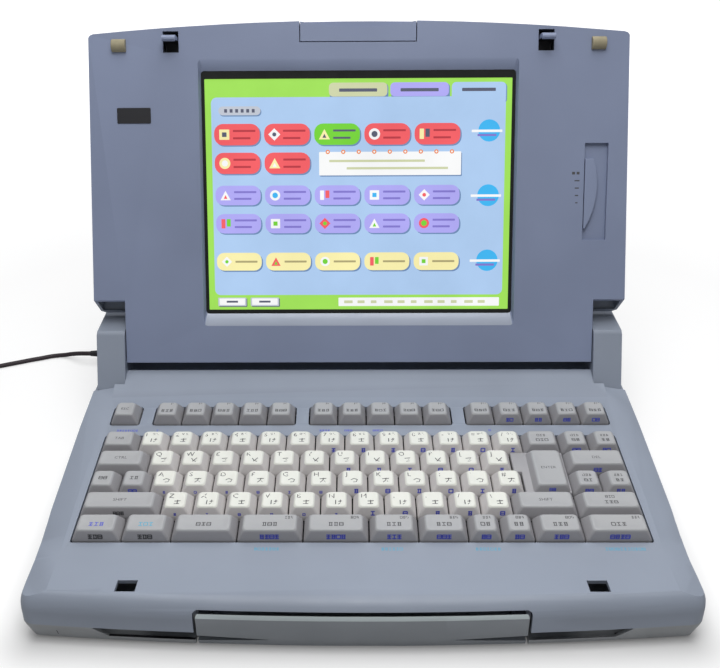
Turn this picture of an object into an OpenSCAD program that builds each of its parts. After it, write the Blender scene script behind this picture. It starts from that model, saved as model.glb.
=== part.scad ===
// Portable electronic word processor: a wedge-shaped base with keyboard, printer and
// floppy drive, and a hinged lid with a colour panel. Millimetres, +X right, +Y back,
// +Z up. The origin is on the table under the middle of the base.

/* [Base] */
// Width of the base at its parting line
case_w = 374; // [368:1:382]
// Depth of the base along its middle
case_d = 364; // [358:1:372]
// Height of the rubber feet
foot_h = 2; // [1.6:0.1:3]
// Height of the joint between the lower and the upper case
part_z = 14; // [13.6:0.1:14.6]
// Height of the printer housing at the rear
rear_h = 82; // [81.5:0.25:86]
// Wall of the moulded cases
wall = 2.5; // [2:0.1:3]
// How far the front edge bows out in the middle
front_bow = 8.8; // [6:0.2:10]
// Radius of the rear corners of the base in plan
corner_r = 12; // [8:1:16]
// Radius of the front corners of the base in plan
front_corner = 8; // [7:0.5:10]
// How much narrower each side of the base is at the front
front_taper = 2.7; // [2:0.1:3.2]
// How far the lower case draws in towards its bottom
tuck_in = 4; // [3:0.5:5]

/* [Keyboard] */
// Distance from one key to the next, both ways
key_pitch = 19; // [18.6:0.1:19.1]
// Gap between neighbouring keys
key_gap = 0.8; // [0.6:0.1:1.2]
// Height of a key top above the deck
key_h = 8; // [7:0.25:8.5]
// Travel of a key
key_travel = 3; // [2:0.25:3.25]
// Depth of the finger dish in a key top
key_dish = 0.5; // [0.2:0.1:0.8]
// Slope of the key plane, degrees
key_slope = 5; // [4.5:0.1:5.5]
// Radius of a key stem
stem_r = 2.6; // [2:0.1:3]

/* [Lid] */
// Thickness of the closed lid
lid_t = 22; // [21:0.25:23]
// Distance from the axis of the hinge to the bezel face
bezel_off = 9.5; // [9.25:0.05:9.75]
// Distance from the axis of the hinge to the bottom edge of the lid
lid_drop = 11.5; // [10.5:0.25:12]
// Height of the lid at its top corners
lid_h = 224.5; // [222:0.5:226]
// How far the top edge of the lid bows up in the middle
lid_bow = 8.4; // [6:0.2:10]
// Width of the lid at its top
lid_top_w = 364.5; // [358:0.5:368]
// Width of the lid above its cut-outs
lid_low_w = 373; // [369:1:375]
// Width of the neck of the lid, between the hinge covers
neck_w = 327.6; // [322:0.4:330]
// Height of the cut-outs at the sides of the neck
neck_h = 44.3; // [43:0.5:48]
// Lean of the open lid, degrees back from upright
lid_lean = 20; // [18:0.5:22]
// Radius of the hinge shafts
hinge_r = 4; // [3:0.25:4.5]

/* [Screen] */
// Width of the visible picture
screen_w = 210.4; // [206:0.4:214]
// Height of the visible picture
screen_h = 158.6; // [155:0.4:161]
// Height of the picture's lower edge above the bottom of the lid
screen_up = 37; // [36:0.25:38]
// Width of the black frame at the sides of the picture
gasket_side = 1.8; // [1.2:0.1:2.6]
// Width of the black frame over the picture
gasket_top = 3.4; // [2.4:0.2:4.4]
// Width of the black frame under the picture
gasket_low = 0.7; // [0.5:0.1:1.5]
// Depth of the screen behind the bezel face
screen_in = 4.2; // [3.5:0.1:4.6]

/* [Latch] */
// Distance from the middle to each hook
hook_x = 126.5; // [118:0.5:135]
// Width of a hook
hook_w = 9; // [7:0.5:10]
// Reach of a hook in front of the bezel
hook_reach = 9.6; // [8.5:0.1:10.2]
// Travel of the release latch
latch_travel = 3; // [2:0.25:3.5]
// Width of the release latch
latch_w = 78; // [60:1:90]

/* [Handle] */
// Width of the carry handle
handle_w = 176; // [160:2:188]
// Height of the top of the handle
handle_top = 26.4; // [25.5:0.1:27]
// How far the handle pulls out
handle_travel = 32; // [24:1:36]

/* [Printer and drive] */
// Radius of the platen roller
platen_r = 10; // [8:0.25:10.5]
// Length of the platen roller
platen_l = 236; // [220:2:240]
// Radius of the rod that guides the print carriage
rod_r = 4; // [3:0.25:5]
// Width of the printer cover
cover_w = 278; // [270:1:284]
// Width of the paper slot
slot_w = 230; // [210:2:234]
// Width of the floppy drive
drive_w = 101.6; // [98:0.2:102]
// Thickness of the floppy drive
drive_t = 17; // [15:0.25:18]
// Height of the disk slot
disk_slot = 5; // [4.6:0.1:5.4]

/* [Cord] */
// Diameter of the cord
cord_d = 3.6; // [3:0.1:3.8]

/* [Hidden] */
$fn = 48;
eps = 0.01;
run_gap = 0.05;
loose_gap = 0.3;

// Plan of the base
front_y = -case_d / 2;
rear_y = case_d / 2;
half_w = case_w / 2;
bow_r = (half_w * half_w + front_bow * front_bow) / (2 * front_bow);
taper_y = -20;
roll_end_y = -100;
cover_x = half_w - 2.7;
function front_at(x) = front_y + bow_r - arc_drop(bow_r, x);

// Key plane: its front edge on the deck, and the deck round it
key_y0 = -128;
key_z0 = 31.3;
crest_v = -44;
crest_n = 6;
shelf_v = 137;
shelf_end_v = 162;
shelf_end_n = 5.7;
function key_point(v, n) = [key_y0 + v * cos(key_slope) - n * sin(key_slope),
    key_z0 + v * sin(key_slope) + n * cos(key_slope)];

// Hinge axis, set from the key plane, and the trough that the neck turns in
hinge_v = 174.67;
hinge_n = 19.31;
hinge_y = key_point(hinge_v, hinge_n)[0];
hinge_z = key_point(hinge_v, hinge_n)[1];
trough_r = norm([lid_t - bezel_off, lid_drop]) + 1.5;
neck_gap = 0.7;
cheek_x = neck_w / 2 + neck_gap;
rear_edge_y = 68.5;
closed_n = hinge_n - bezel_off;

// Keyboard: rows from the back, each with its front edge, left end and key widths in pitches
keys_across = 17.5;
fn_v = 106.8;
row_v = [fn_v, 4 * key_pitch, 3 * key_pitch, 2 * key_pitch, key_pitch, 0];
function ones(n) = [for (i = [1:n]) 1];
row_keys = [concat([1], ones(5), ones(5), ones(5)),
    concat([1.25], ones(13), [1.25, 1, 1]),
    concat([1.75], ones(12), [2]),
    concat([1, 1], ones(12), [1, 1]),
    concat([2.5], ones(11), [2, 2]),
    [1.5, 1.5, 2, 2, 2, 1.5, 1.5, 1, 1, 1.5, 2]];
// Spaces before a key, as [row, key, pitches]
row_spaces = [[0, 1, 0.5], [0, 6, 0.5], [0, 11, 0.5], [2, 13, 1.75], [3, 14, 1.5]];
function space_before(r, k) = len([for (s = row_spaces) if (s[0] == r && s[1] <= k) s]) == 0 ? 0
    : [for (s = row_spaces) if (s[0] == r && s[1] <= k) s[2]] * [for (s = row_spaces) if (s[0] == r && s[1] <= k) 1];
function sum_to(list, k, i = 0) = i >= k ? 0 : list[i] + sum_to(list, k, i + 1);
function key_x(r, k) = (sum_to(row_keys[r], k) + space_before(r, k) - keys_across / 2) * key_pitch;
enter_x = (13.75 - keys_across / 2) * key_pitch;
enter_step = 0.25 * key_pitch;
enter_w = 1.75 * key_pitch;
enter_flange_n = 2.4;
key_skirt = 2.5;
key_lean_side = 3.3;
key_lean_front = 1.3;
key_lean_back = 4;
key_corner = 1.4;
stem_end = -8.5;
plate_n = -7.6;
plate_t = 1.2;
well_gap = 0.6;
fn_groups = [[0, 0], [1, 5], [6, 10], [11, 15]];

// Lid, measured up from the axis of the hinge
lid_z0 = -lid_drop;
lid_side_z = lid_h - lid_drop;
lid_bow_r = (pow(lid_top_w / 2, 2) + lid_bow * lid_bow) / (2 * lid_bow);
lid_back_y = lid_t - bezel_off;
bezel_t = 6.5;
lid_split_y = -bezel_off + bezel_t;
neck_back_h = 33.2;
lid_wall = 2.2;
latch_z = lid_side_z - 5.1;
hook_z = latch_z + 0.5;
hook_t = 3;
hook_lip = 1.2;
bar_z = latch_z - 7;
bar_h = 8;
bumper_x = 161.5;
bumper_z = latch_z - 6.5;
bumper_w = 9.5;
bumper_l = 8.5;
deck_at_bumper = (bumper_z + bumper_l - hinge_v) * crest_n / -crest_v;
slider_x = 154.6;
slider_z = 85.3 - lid_drop;
slider_l = 66;
slider_w = 16;
slider_in = 3;
knob_l = 47.5;
knob_w = 8.6;
knob_z = 93.2 - lid_drop;
badge_x = -152.9;
badge_z = 170.9 - lid_drop;
badge_w = 23;
badge_h = 10.4;

// Printer housing
cover_y0 = 80.6;
cover_t = 2.5;
cover_axis_y = 148.8;
cover_axis_z = rear_h - cover_t / 2;
cover_pin_r = 0.9;
cover_pin_l = 3;
slot_y0 = 157.5;
slot_y1 = 165.5;
platen_y = 145;
platen_z = 56;
rod_y = 112;
rod_z = 50;
chassis_x = 137;
chassis_t = 2;
carriage_w = 40;
cassette_w = 58;

// Floppy drive and its slot in the right side
drive_y0 = -6;
drive_z0 = 15.8;
drive_x1 = half_w - 1;
drive_l = 130;
slot_z = drive_z0 + drive_t * 0.6;

// Mains side: inlet, connector and the cord's route on the table
inlet_y = rear_y - 48.5;
inlet_z = 8.5;
connector_r = 4;
connector_in = half_w - 10;
connector_out = half_w + 14;
relief_l = 20;
relief_x = -connector_out - relief_l;
// Steps of the cord from its relief: along X, along Y, and up from the table
cord_steps = [[0, 0, 6.7], [-3.6, 0, 6.7], [-8, 1.1, 6.1], [-13, 3.5, 4.6], [-19, 6.8, 2.3], [-24, 8.2, 0.8],
    [-29, 8.7, 0.1], [-36, 7.1, 0], [-43, 4.1, 0], [-51, 1, 0], [-58, -2.1, 0], [-66, -5.5, 0],
    [-73, -8.6, 0], [-80, -11.6, 0], [-87, -13.9, 0], [-94, -15.2, 0], [-100, -15.5, 0], [-104, -15.5, 0]];
floor_r = cord_d / 2;
cord_points = [for (p = cord_steps) [relief_x + p[0], inlet_y + p[1], floor_r + p[2]]];
coil_pitch = cord_d + 0.6;
coil_out = 27.6;
coil_turns = 12;
layer_turns = 3;
coil_rings = 24;
coil_x = relief_x - 108;
coil_y = inlet_y - 15.5 - coil_out;
tail_l = 24;

// Plain helpers
module key_frame() {
    translate([0, key_y0, key_z0]) rotate([key_slope, 0, 0]) children();
}
module lid_frame() {
    translate([0, hinge_y, hinge_z]) rotate([-lid_lean, 0, 0]) children();
}
module box(x0, x1, y0, y1, z0, z1) {
    translate([x0, y0, z0]) cube([x1 - x0, y1 - y0, z1 - z0]);
}
// A profile drawn in Y and Z, drawn out along X
module side_extrude(x0, x1) {
    translate([x0, 0, 0]) rotate([90, 0, 90]) linear_extrude(x1 - x0) children();
}
// A profile drawn in X and Z, from y0 forward to the viewer by t
module front_extrude(y0, t) {
    translate([0, y0, 0]) rotate([90, 0, 0]) linear_extrude(t) children();
}
module round_rect(w, h, r) {
    hw = w / 2 - r;
    hh = h / 2 - r;
    union() {
        square([w, h - 2 * r], center = true);
        square([w - 2 * r, h], center = true);
        for (sx = [-1, 1]) for (sy = [-1, 1]) translate([sx * hw, sy * hh]) circle(r, $fn = 24);
    }
}
module both_sides() {
    for (s = [0, 1]) mirror([s, 0, 0]) children();
}

// How far below its centre a circle of radius r lies at x
function arc_drop(r, x) = sqrt(r * r - x * x);
// Half the width of the base at y, and where its front corners begin
function side_at(y) = half_w - front_taper * max(0, min(1, (taper_y - y) / (taper_y - corner_y)));
corner_y = front_at(half_w - front_taper - front_corner) + front_corner;
// Outline of the base at height z: bowed front and rounded corners, drawn in by inset all
// round, and by roll at the front only
function outline(inset, roll, z) = let (r = max(front_corner - inset, 2), back_r = max(corner_r - inset, 2), w = half_w - inset,
        front_w = w - front_taper - 0.6 * roll, mid = front_w - r, mid_y = front_at(mid) + inset + roll + r,
        side = [side_at(roll_end_y) - inset, roll_end_y, z])
    concat([for (i = [-8:8]) [i * mid / 8, front_y + bow_r - arc_drop(bow_r - inset - roll, i * mid / 8), z]],
        [for (a = [-70:20:-10]) [mid + r * cos(a), mid_y + r * sin(a), z]], [[front_w, mid_y, z], side, [w, taper_y, z]],
        [for (a = [0:15:90]) [w - back_r + back_r * cos(a), rear_y - inset - back_r + back_r * sin(a), z]],
        [for (a = [90:15:180]) [-w + back_r + back_r * cos(a), rear_y - inset - back_r + back_r * sin(a), z]],
        [[-w, taper_y, z], [-side[0], side[1], z], [-front_w, mid_y, z]], [for (a = [190:20:250]) [-mid + r * cos(a), mid_y + r * sin(a), z]]);

// Side profile of the upper case, drawn in by inset
deck_front = key_point(crest_v, crest_n);
deck_well = key_point(-10, 0.3);
deck_shelf = key_point(shelf_v, 0);
deck_end = key_point(shelf_end_v, shelf_end_n);
crest_rise = (deck_front[1] - deck_well[1]) / (deck_front[0] - deck_well[0]);
function front_deck(y) = deck_well[1] + crest_rise * (y - deck_well[0]);
module case_profile(inset) {
    polygon([[front_y - 5, part_z - (inset > 0 ? 20 : 0)],
        [front_y - 5, front_deck(front_y - 5) - inset],
        [deck_well[0], deck_well[1] - inset],
        [deck_shelf[0], deck_shelf[1] - inset],
        [deck_end[0], deck_end[1] - inset],
        [hinge_y - 10, deck_end[1] - inset],
        [hinge_y, deck_end[1] - inset],
        [hinge_y + trough_r + inset, hinge_z - inset],
        [rear_edge_y + inset, rear_h - inset],
        [rear_y - 16, rear_h - inset],
        [rear_y + 4, rear_h - 10 - inset],
        [rear_y + 4, part_z - (inset > 0 ? 20 : 0)]]);
}
// The sloping shoulders and the draft of the housing: stations from front to back, each with
// the crease, its height, and the fall per millimetre outside it
shoulder = [[front_y - 12, 168, front_deck(front_y - 12), 0.26], [deck_front[0], 168, deck_front[1], 0.26],
    [deck_well[0], 170, deck_well[1], 0.27], [front_y + 60, 170.5, 31.9, 0.28], [front_y + 94, 171.5, 34.9, 0.2],
    [20.5, 171.5, 44.35, 0.17], [21.5, cover_x, 82.9, 15.8], [rear_y + 6, cover_x, 82.9, 15.8]];
module shoulder_cut() {
    n = len(shoulder);
    far = half_w + 4;
    points = [for (s = shoulder) each [[s[1], s[0], s[2]], [far, s[0], s[2] - s[3] * (far - s[1])], [far, s[0], 90], [s[1], s[0], 90]]];
    side_faces = [for (i = [0:n - 2]) for (k = [0:3])
        let (a = 4 * i + k, b = 4 * i + (k + 1) % 4) each [[a, b, b + 4], [a, b + 4, a + 4]]];
    polyhedron(points, concat([[3, 2, 1, 0]], [[4 * n - 4, 4 * n - 3, 4 * n - 2, 4 * n - 1]], side_faces));
}
// Block of the upper case with its rounded nose, which draws back as it rises
nose_depth = 9.6;
nose_height = 11.4;
nose_z = deck_front[1] + 0.15 - nose_height;
module case_block(inset) {
    step = inset > 0 ? 30 : 10;
    rings = concat([outline(inset, 0, -20), outline(inset, 0, nose_z)],
        [for (a = [step:step:90]) outline(inset, (nose_depth - inset) * (1 - cos(a)), nose_z + (nose_height - inset) * sin(a))]);
    rings_solid(concat(rings, [[for (p = rings[len(rings) - 1]) [p[0], p[1] + 0.23 * max(0, 10 - p[1]), 110]]]));
}
module case_shape(inset) {
    intersection() {
        difference() {
            side_extrude(-half_w - 1, half_w + 1) case_profile(inset);
            both_sides() translate([-inset, 0, -inset]) shoulder_cut();
        }
        case_block(inset);
    }
}

module lower_shape(top) rings_solid([outline(tuck_in, 0, foot_h), outline(0, 0, part_z - 1.2), outline(0, 0, top)]);
module lower_case() color("lightslategray") difference() {
    union() {
        difference() {
            lower_shape(part_z);
            rings_solid([outline(tuck_in + wall, 0, foot_h + wall), outline(wall, 0, part_z - 1.2), outline(wall, 0, part_z + 1)]);
        }
        box(-bay_x - 2, bay_x + 2, bay_y - 0.5, bay_y + 1.5, foot_h + wall - 1, part_z);
    }
    handle_bay();
    finger_slits();
    inlet_hole();
    screw_holes();
    // Ventilation slots in the floor at the rear
    for (i = [0:7]) box(-105 + i * 12, -101 + i * 12, 60, 100, 0, foot_h + wall + 1);
}
// Where the handle slides in at the front, with rounded upper corners
bay_x = handle_w / 2 + 1.6;
bay_y = front_y + 15.5;
bay_top = handle_top + 2.2;
module rounded_top(half, bottom, top, r) {
    translate([-half, bottom]) square([2 * half, top - bottom - r]);
    translate([-half + r, bottom]) square([2 * half - 2 * r, top - bottom]);
    for (s = [-1, 1]) translate([s * (half - r), top - r]) circle(r);
}
module handle_bay() {
    front_extrude(bay_y, bay_y - front_y + 8) rounded_top(bay_x, foot_h + wall + 0.2, bay_top, 3);
    box(-bay_x, bay_x, front_y - 8, handle_bar_y + 0.5, foot_h - 1, foot_h + wall + 0.3);
}
slit_out = 144.5;
slit_in = handle_w / 2 - 38;
slit_low = 6.2;
slit_stations = [[handle_w / 2 - 1, slit_low], [112, slit_low], [slit_out - 7.5, slit_low], [slit_out, part_z - 0.3]];
// Finger slits under the parting line, with a lower lip that slopes inwards
module finger_slits() both_sides() {
    rings_solid([for (s = slit_stations) let (f = front_at(s[0])) [[s[0], f - 3, s[1]], [s[0], f + 12, s[1]],
        [s[0], f + 12, part_z + eps], [s[0], f - 3, part_z + eps]]]);
    rings_solid([for (s = slit_stations) let (f = front_at(s[0]), drop = (s[1] - foot_h - wall) * 0.85)
        [[s[0], f + 2.6, s[1] + 0.1], [s[0], f + 5.4, s[1] - drop], [s[0], f + 11, s[1] - drop], [s[0], f + 11, s[1] + 0.1]]]);
}
module inlet_hole() {
    for (s = [-1, 1]) translate([-half_w - 2, inlet_y + s * connector_r, inlet_z]) rotate([0, 90, 0])
        cylinder(r = connector_r + loose_gap, h = 14);
    box(-half_w - 2, -half_w + 12, inlet_y - connector_r, inlet_y + connector_r,
        inlet_z - connector_r - loose_gap, inlet_z + connector_r + loose_gap);
}
foot_x = half_w - 32;
foot_y = [front_y + 34, rear_y - 26];
screw_x = half_w - 14;
screw_y = [front_y + 50, -20, rear_y - 24];
screw_r = 1.5;
module screw_holes() {
    for (s = [-1, 1]) for (y = screw_y) translate([s * screw_x, y, 0]) {
        cylinder(r = screw_r, h = 20);
        cylinder(r = 3.2, h = foot_h + 1.4);
    }
}

module upper_case() color("slategray") difference() {
    union() {
        difference() {
            case_shape(0);
            difference() {
                case_shape(wall);
                neck_trough(wall);
            }
        }
        // Bosses that take the case screws, each on a rib from the side wall
        for (s = [-1, 1]) for (y = screw_y) {
            translate([s * screw_x, y, foot_h + wall]) cylinder(r = 4, h = 14);
            translate([s * (side_at(y) - 8.2), y, part_z + 4.25]) cube([13.6, 3, 4.4], center = true);
        }
        // Wall behind the handle
        intersection() {
            case_shape(eps);
            difference() {
                box(-bay_x - 2, bay_x + 2, bay_y - 0.5, bay_y + 1.5, part_z, 60);
                handle_arm_slots();
            }
        }
        // Ledges under the hinge covers
        both_sides() box(half_w - 7, half_w - 1, hinge_cover_y0 + 2, rear_edge_y + 19, hinge_cover_z0 - 2.5, hinge_cover_z0);
        // Ears that carry the printer cover
        for (s = [-1, 1]) translate([s * (cover_w / 2 + 0.4 + 2), cover_axis_y - 5, rear_h - 8])
            translate([-2, 0, 0]) cube([4, 9, 7]);
    }
    for (s = [-1, 1]) for (y = screw_y) translate([s * screw_x, y, 0]) cylinder(r = screw_r, h = foot_h + wall + 10);
    neck_trough(0);
    // Seats of the hinge covers
    for (s = [-1, 1]) mirror([s < 0 ? 1 : 0, 0, 0])
        box(cheek_x + eps, half_w + 2, hinge_cover_y0 - 0.2, rear_edge_y + 20, hinge_cover_z0, rear_h + 1);
    key_frame() key_openings();
    latch_slots();
    handle_bay();
    inlet_hole();
    // Opening over the printer, paper slot and printer cover pin holes
    box(-cover_w / 2 - 0.4, cover_w / 2 + 0.4, cover_y0 - 0.5, cover_axis_y + cover_t / 2 + 0.35, rear_h - 6, rear_h + 1);
    box(-slot_w / 2, slot_w / 2, slot_y0, slot_y1, rear_h - 20, rear_h + 1);
    cover_pins(cover_pin_r + run_gap, cover_pin_l + 0.3);
    // Finger dip in front of the printer cover
    translate([0, cover_y0 - 1, rear_h + 6]) rotate([90, 0, 0]) translate([0, 0, -2]) cylinder(r = 12, h = 10);
    // Mouth of the floppy drive
    box(half_w - 20, half_w + 2, drive_y0 - 0.3, drive_y0 + drive_w + 0.3, drive_z0 - 0.3, drive_z0 + drive_t + 0.3);
    // Power switch in the left side
    box(-half_w - 2, -half_w + 12, switch_y - switch_l / 2 - 0.4, switch_y + switch_l / 2 + 0.4,
        switch_z - switch_h / 2 - 0.4, switch_z + switch_h / 2 + 0.4);
}
// Trough for the neck of the lid, grown by g
module neck_trough(g) {
    x = cheek_x + min(g, 0.2);
    translate([-x, hinge_y, hinge_z]) rotate([0, 90, 0]) cylinder(r = trough_r + g, h = 2 * x, $fn = 96);
    box(-x, x, hinge_y, hinge_y + trough_r + g, hinge_z, rear_h + 1);
}
module handle_arm_slots() {
    both_sides() box(handle_w / 2 - arm_w - 0.4, handle_w / 2 + 0.4, bay_y - 1, bay_y + 2, part_z - 0.4, part_z + 5.4);
}
module key_openings() {
    v1 = 5 * key_pitch + well_gap;
    half = keys_across / 2 * key_pitch + well_gap;
    translate([0, (v1 - well_gap) / 2, -20]) linear_extrude(40) round_rect(2 * half, v1 + well_gap, 1.5);
    for (g = fn_groups) {
        x0 = key_x(0, g[0]) - well_gap;
        x1 = key_x(0, g[1]) + key_pitch + well_gap;
        translate([(x0 + x1) / 2, fn_v + key_pitch / 2, -20]) linear_extrude(40)
            round_rect(x1 - x0, key_pitch + 2 * well_gap, 2.5);
    }
}
module latch_slots() {
    v = hinge_v - hook_z;
    for (s = [-1, 1]) key_frame() box(s * hook_x - hook_w / 2 - 1, s * hook_x + hook_w / 2 + 1,
        v - hook_t - latch_travel - 1.6, v + hook_lip + 0.4, -8, 10);
}

// Covers over the hinges at both ends of the trough
hinge_cover_y0 = 20.6;
hinge_cover_z0 = 40;
cover_top_z = 79.4;
module hinge_cover() {
    difference() {
        side_extrude(cheek_x + eps, cover_x)
            polygon([[hinge_cover_y0 + 3, hinge_cover_z0], [hinge_cover_y0, hinge_cover_z0 + 2.2],
                [36.2, cover_top_z - 2.2], [39, cover_top_z], [rear_edge_y - 2, cover_top_z + 0.6],
                [rear_edge_y + 4, rear_h], [rear_edge_y + 19.5, rear_h], [rear_edge_y + 19.5, hinge_cover_z0]]);
        // Hollow, apart from the bearing of the hinge
        difference() {
            side_extrude(cheek_x + 3, cover_x - wall)
                polygon([[hinge_cover_y0 + 5, hinge_cover_z0 - 1], [hinge_cover_y0 + 5, hinge_cover_z0 + 4],
                    [38, cover_top_z - wall], [rear_edge_y - 3, cover_top_z - wall],
                    [rear_edge_y + 17, rear_h - wall - 0.5], [rear_edge_y + 17, hinge_cover_z0 - 1]]);
            translate([cheek_x, hinge_y, hinge_z]) rotate([0, 90, 0]) cylinder(r = hinge_r + 3.5, h = 30);
        }
        translate([cheek_x - 1, hinge_y, hinge_z]) rotate([0, 90, 0]) cylinder(r = hinge_r + run_gap, h = 17);
    }
}
module hinge_cover_left() color("slategray") mirror([1, 0, 0]) hinge_cover();
module hinge_cover_right() color("slategray") hinge_cover();

module cover_pins(r, l) {
    for (s = [-1, 1]) translate([s * cover_w / 2, cover_axis_y, cover_axis_z]) rotate([0, s * 90, 0])
        translate([0, 0, -1]) cylinder(r = r, h = l + 1);
}
module printer_cover() color("slategray") {
    difference() {
        union() {
            box(-cover_w / 2, cover_w / 2, cover_y0, cover_axis_y, rear_h - cover_t, rear_h);
            translate([-cover_w / 2, cover_axis_y, cover_axis_z]) rotate([0, 90, 0]) cylinder(r = cover_t / 2, h = cover_w);
            for (x = [-90, 0, 90]) box(x - 1, x + 1, cover_y0 + 8, cover_axis_y - 8, rear_h - cover_t - 2, rear_h - cover_t + eps);
        }
        for (i = [0:5]) box(-60, 60, cover_y0 + 14 + i * 5, cover_y0 + 15.6 + i * 5, rear_h - 0.8, rear_h + 1);
    }
    cover_pins(cover_pin_r, cover_pin_l - 0.4);
}

// Printer: a bent steel chassis, the platen, the guide rod and the carriage
chassis_z = 34.5;
chassis_y = rod_y - 14;
chassis_legs = [[-62, rod_y - 9], [62, rod_y - 9], [-128, rear_y - 12], [128, rear_y - 12]];
module printer_chassis() color("silver") difference() {
    union() {
        box(-chassis_x - chassis_t, chassis_x + chassis_t, chassis_y, rear_y - 7, chassis_z, chassis_z + 1.5);
        for (s = [-1, 1]) translate([s * (chassis_x + chassis_t / 2), 0, 0])
            box(-chassis_t / 2, chassis_t / 2, chassis_y, rear_y - 7, chassis_z, rear_h - 10.5);
        for (p = chassis_legs) translate([p[0], p[1], foot_h + wall]) cylinder(r = 3, h = chassis_z - foot_h - wall + eps);
    }
    translate([-chassis_x - 5, platen_y, platen_z]) rotate([0, 90, 0]) cylinder(r = 3 + run_gap, h = 2 * chassis_x + 10);
    translate([-chassis_x - 5, rod_y, rod_z]) rotate([0, 90, 0]) cylinder(r = rod_r - 1, h = 2 * chassis_x + 10);
}
module platen() color("dimgray") translate([0, platen_y, platen_z]) rotate([0, 90, 0]) {
    translate([0, 0, -platen_l / 2]) cylinder(r = platen_r, h = platen_l, $fn = 64);
    translate([0, 0, -chassis_x - chassis_t - 7]) cylinder(r = 3, h = 2 * chassis_x + 2 * chassis_t + 9);
    // Drive gear on the left end of the shaft
    translate([0, 0, -chassis_x - chassis_t - 6]) difference() {
        cylinder(r = 9, h = 4);
        for (a = [0:15:345]) rotate(a) translate([9, 0, -1]) cylinder(r = 0.8, h = 6, $fn = 16);
    }
}
module carriage_rod() color("gainsboro") translate([0, rod_y, rod_z]) rotate([0, 90, 0]) {
    translate([0, 0, -chassis_x]) cylinder(r = rod_r, h = 2 * chassis_x);
    translate([0, 0, -chassis_x - chassis_t - 1]) cylinder(r = rod_r - 1, h = 2 * chassis_x + 2 * chassis_t + 2);
}
module print_carriage() color("black") difference() {
    union() {
        box(-carriage_w / 2, carriage_w / 2, rod_y - 9, rod_y + 9, rod_z - 8, rod_z + 8);
        box(-14, 14, rod_y + 8, rod_y + 12.4, platen_z - 10, rod_z + 8);
        box(-14, 14, rod_y + 12.4 - eps, platen_y - platen_r - 1.6, platen_z - 10, platen_z + 8.8);
    }
    translate([-carriage_w, rod_y, rod_z]) rotate([0, 90, 0]) cylinder(r = rod_r + run_gap, h = 2 * carriage_w);
}
module ribbon_cassette() color("darkslategray") difference() {
    union() {
        translate([0, rod_y - 2, rod_z + 8]) linear_extrude(9) round_rect(cassette_w, 28, 5);
        box(-18, 18, rod_y + 8, platen_y - platen_r - 2.4, platen_z + 9, rod_z + 17);
    }
    for (s = [-1, 1]) translate([s * 15, rod_y - 4, rod_z + 12]) cylinder(r = 6, h = 9);
}

module floppy_drive() color("dimgray") difference() {
    box(drive_x1 - drive_l, drive_x1, drive_y0, drive_y0 + drive_w, drive_z0, drive_z0 + drive_t);
    box(drive_x1 - 98, drive_x1 + 1, drive_y0 + 5, drive_y0 + drive_w - 5, slot_z - disk_slot / 2, slot_z + disk_slot / 2);
    box(drive_x1 - 12, drive_x1 + 1, button_y - button_w / 2 - loose_gap, button_y + button_w / 2 + loose_gap,
        button_z - button_h / 2 - loose_gap, button_z + button_h / 2 + loose_gap);
    // Finger notch over the middle of the slot
    translate([drive_x1 - 2.5, drive_y0 + drive_w / 2, slot_z]) rotate([0, 90, 0]) cylinder(r = 11, h = 4);
}
button_w = 14;
button_h = 4.4;
button_y = drive_y0 + drive_w - 14;
button_z = drive_z0 + 3.4;
button_travel = 4;
module eject_button() color("gray")
    box(drive_x1 - 5.5, drive_x1 + 1.2, button_y - button_w / 2, button_y + button_w / 2,
        button_z - button_h / 2, button_z + button_h / 2);

// Power switch: a rocker on a cross pin
switch_y = 96;
switch_z = 30;
switch_l = 22;
switch_h = 11;
module switch_housing() color("dimgray") difference() {
    box(-half_w + wall, -half_w + 22, switch_y - 13.5, switch_y + 13.5, switch_z - 7.5, switch_z + 7.5);
    box(-half_w, -half_w + 20, switch_y - switch_l / 2 - 0.4, switch_y + switch_l / 2 + 0.4,
        switch_z - switch_h / 2 - 0.4, switch_z + switch_h / 2 + 0.4);
    translate([-half_w + 6, switch_y, switch_z - 10]) cylinder(r = 1.5 + run_gap, h = 20);
}
module power_switch() color("black") intersection() {
    translate([-half_w + 6, switch_y, switch_z]) rotate([0, 0, 4]) difference() {
        union() {
            box(-6.6, 0, -switch_l / 2 + 0.7, switch_l / 2 - 0.7, -switch_h / 2 + 0.3, switch_h / 2 - 0.3);
            cylinder(r = 3.4, h = switch_h - 0.6, center = true);
            cylinder(r = 1.5, h = switch_h + 3.4, center = true);
        }
        translate([-12.4, 0, 0]) cylinder(r = 7, h = 20, center = true);
    }
    box(-half_w - 3, -half_w + 14, switch_y - 14, switch_y + 14, switch_z - 8, switch_z + 8);
}

// Keyboard
function octagon(x0, x1, v0, v1, n, c) = [[x0 + c, v0, n], [x1 - c, v0, n], [x1, v0 + c, n], [x1, v1 - c, n],
    [x1 - c, v1, n], [x0 + c, v1, n], [x0, v1 - c, n], [x0, v0 + c, n]];
module rings_solid(rings) {
    n = len(rings);
    m = len(rings[0]);
    points = [for (r = rings) each r];
    walls = [for (i = [0:n - 2]) for (k = [0:m - 1])
        let (a = i * m + k, b = i * m + (k + 1) % m) each [[a, a + m, b], [b, a + m, b + m]]];
    polyhedron(points, concat([[for (k = [0:m - 1]) k]], [[for (k = [m - 1:-1:0]) (n - 1) * m + k]], walls));
}
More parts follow.
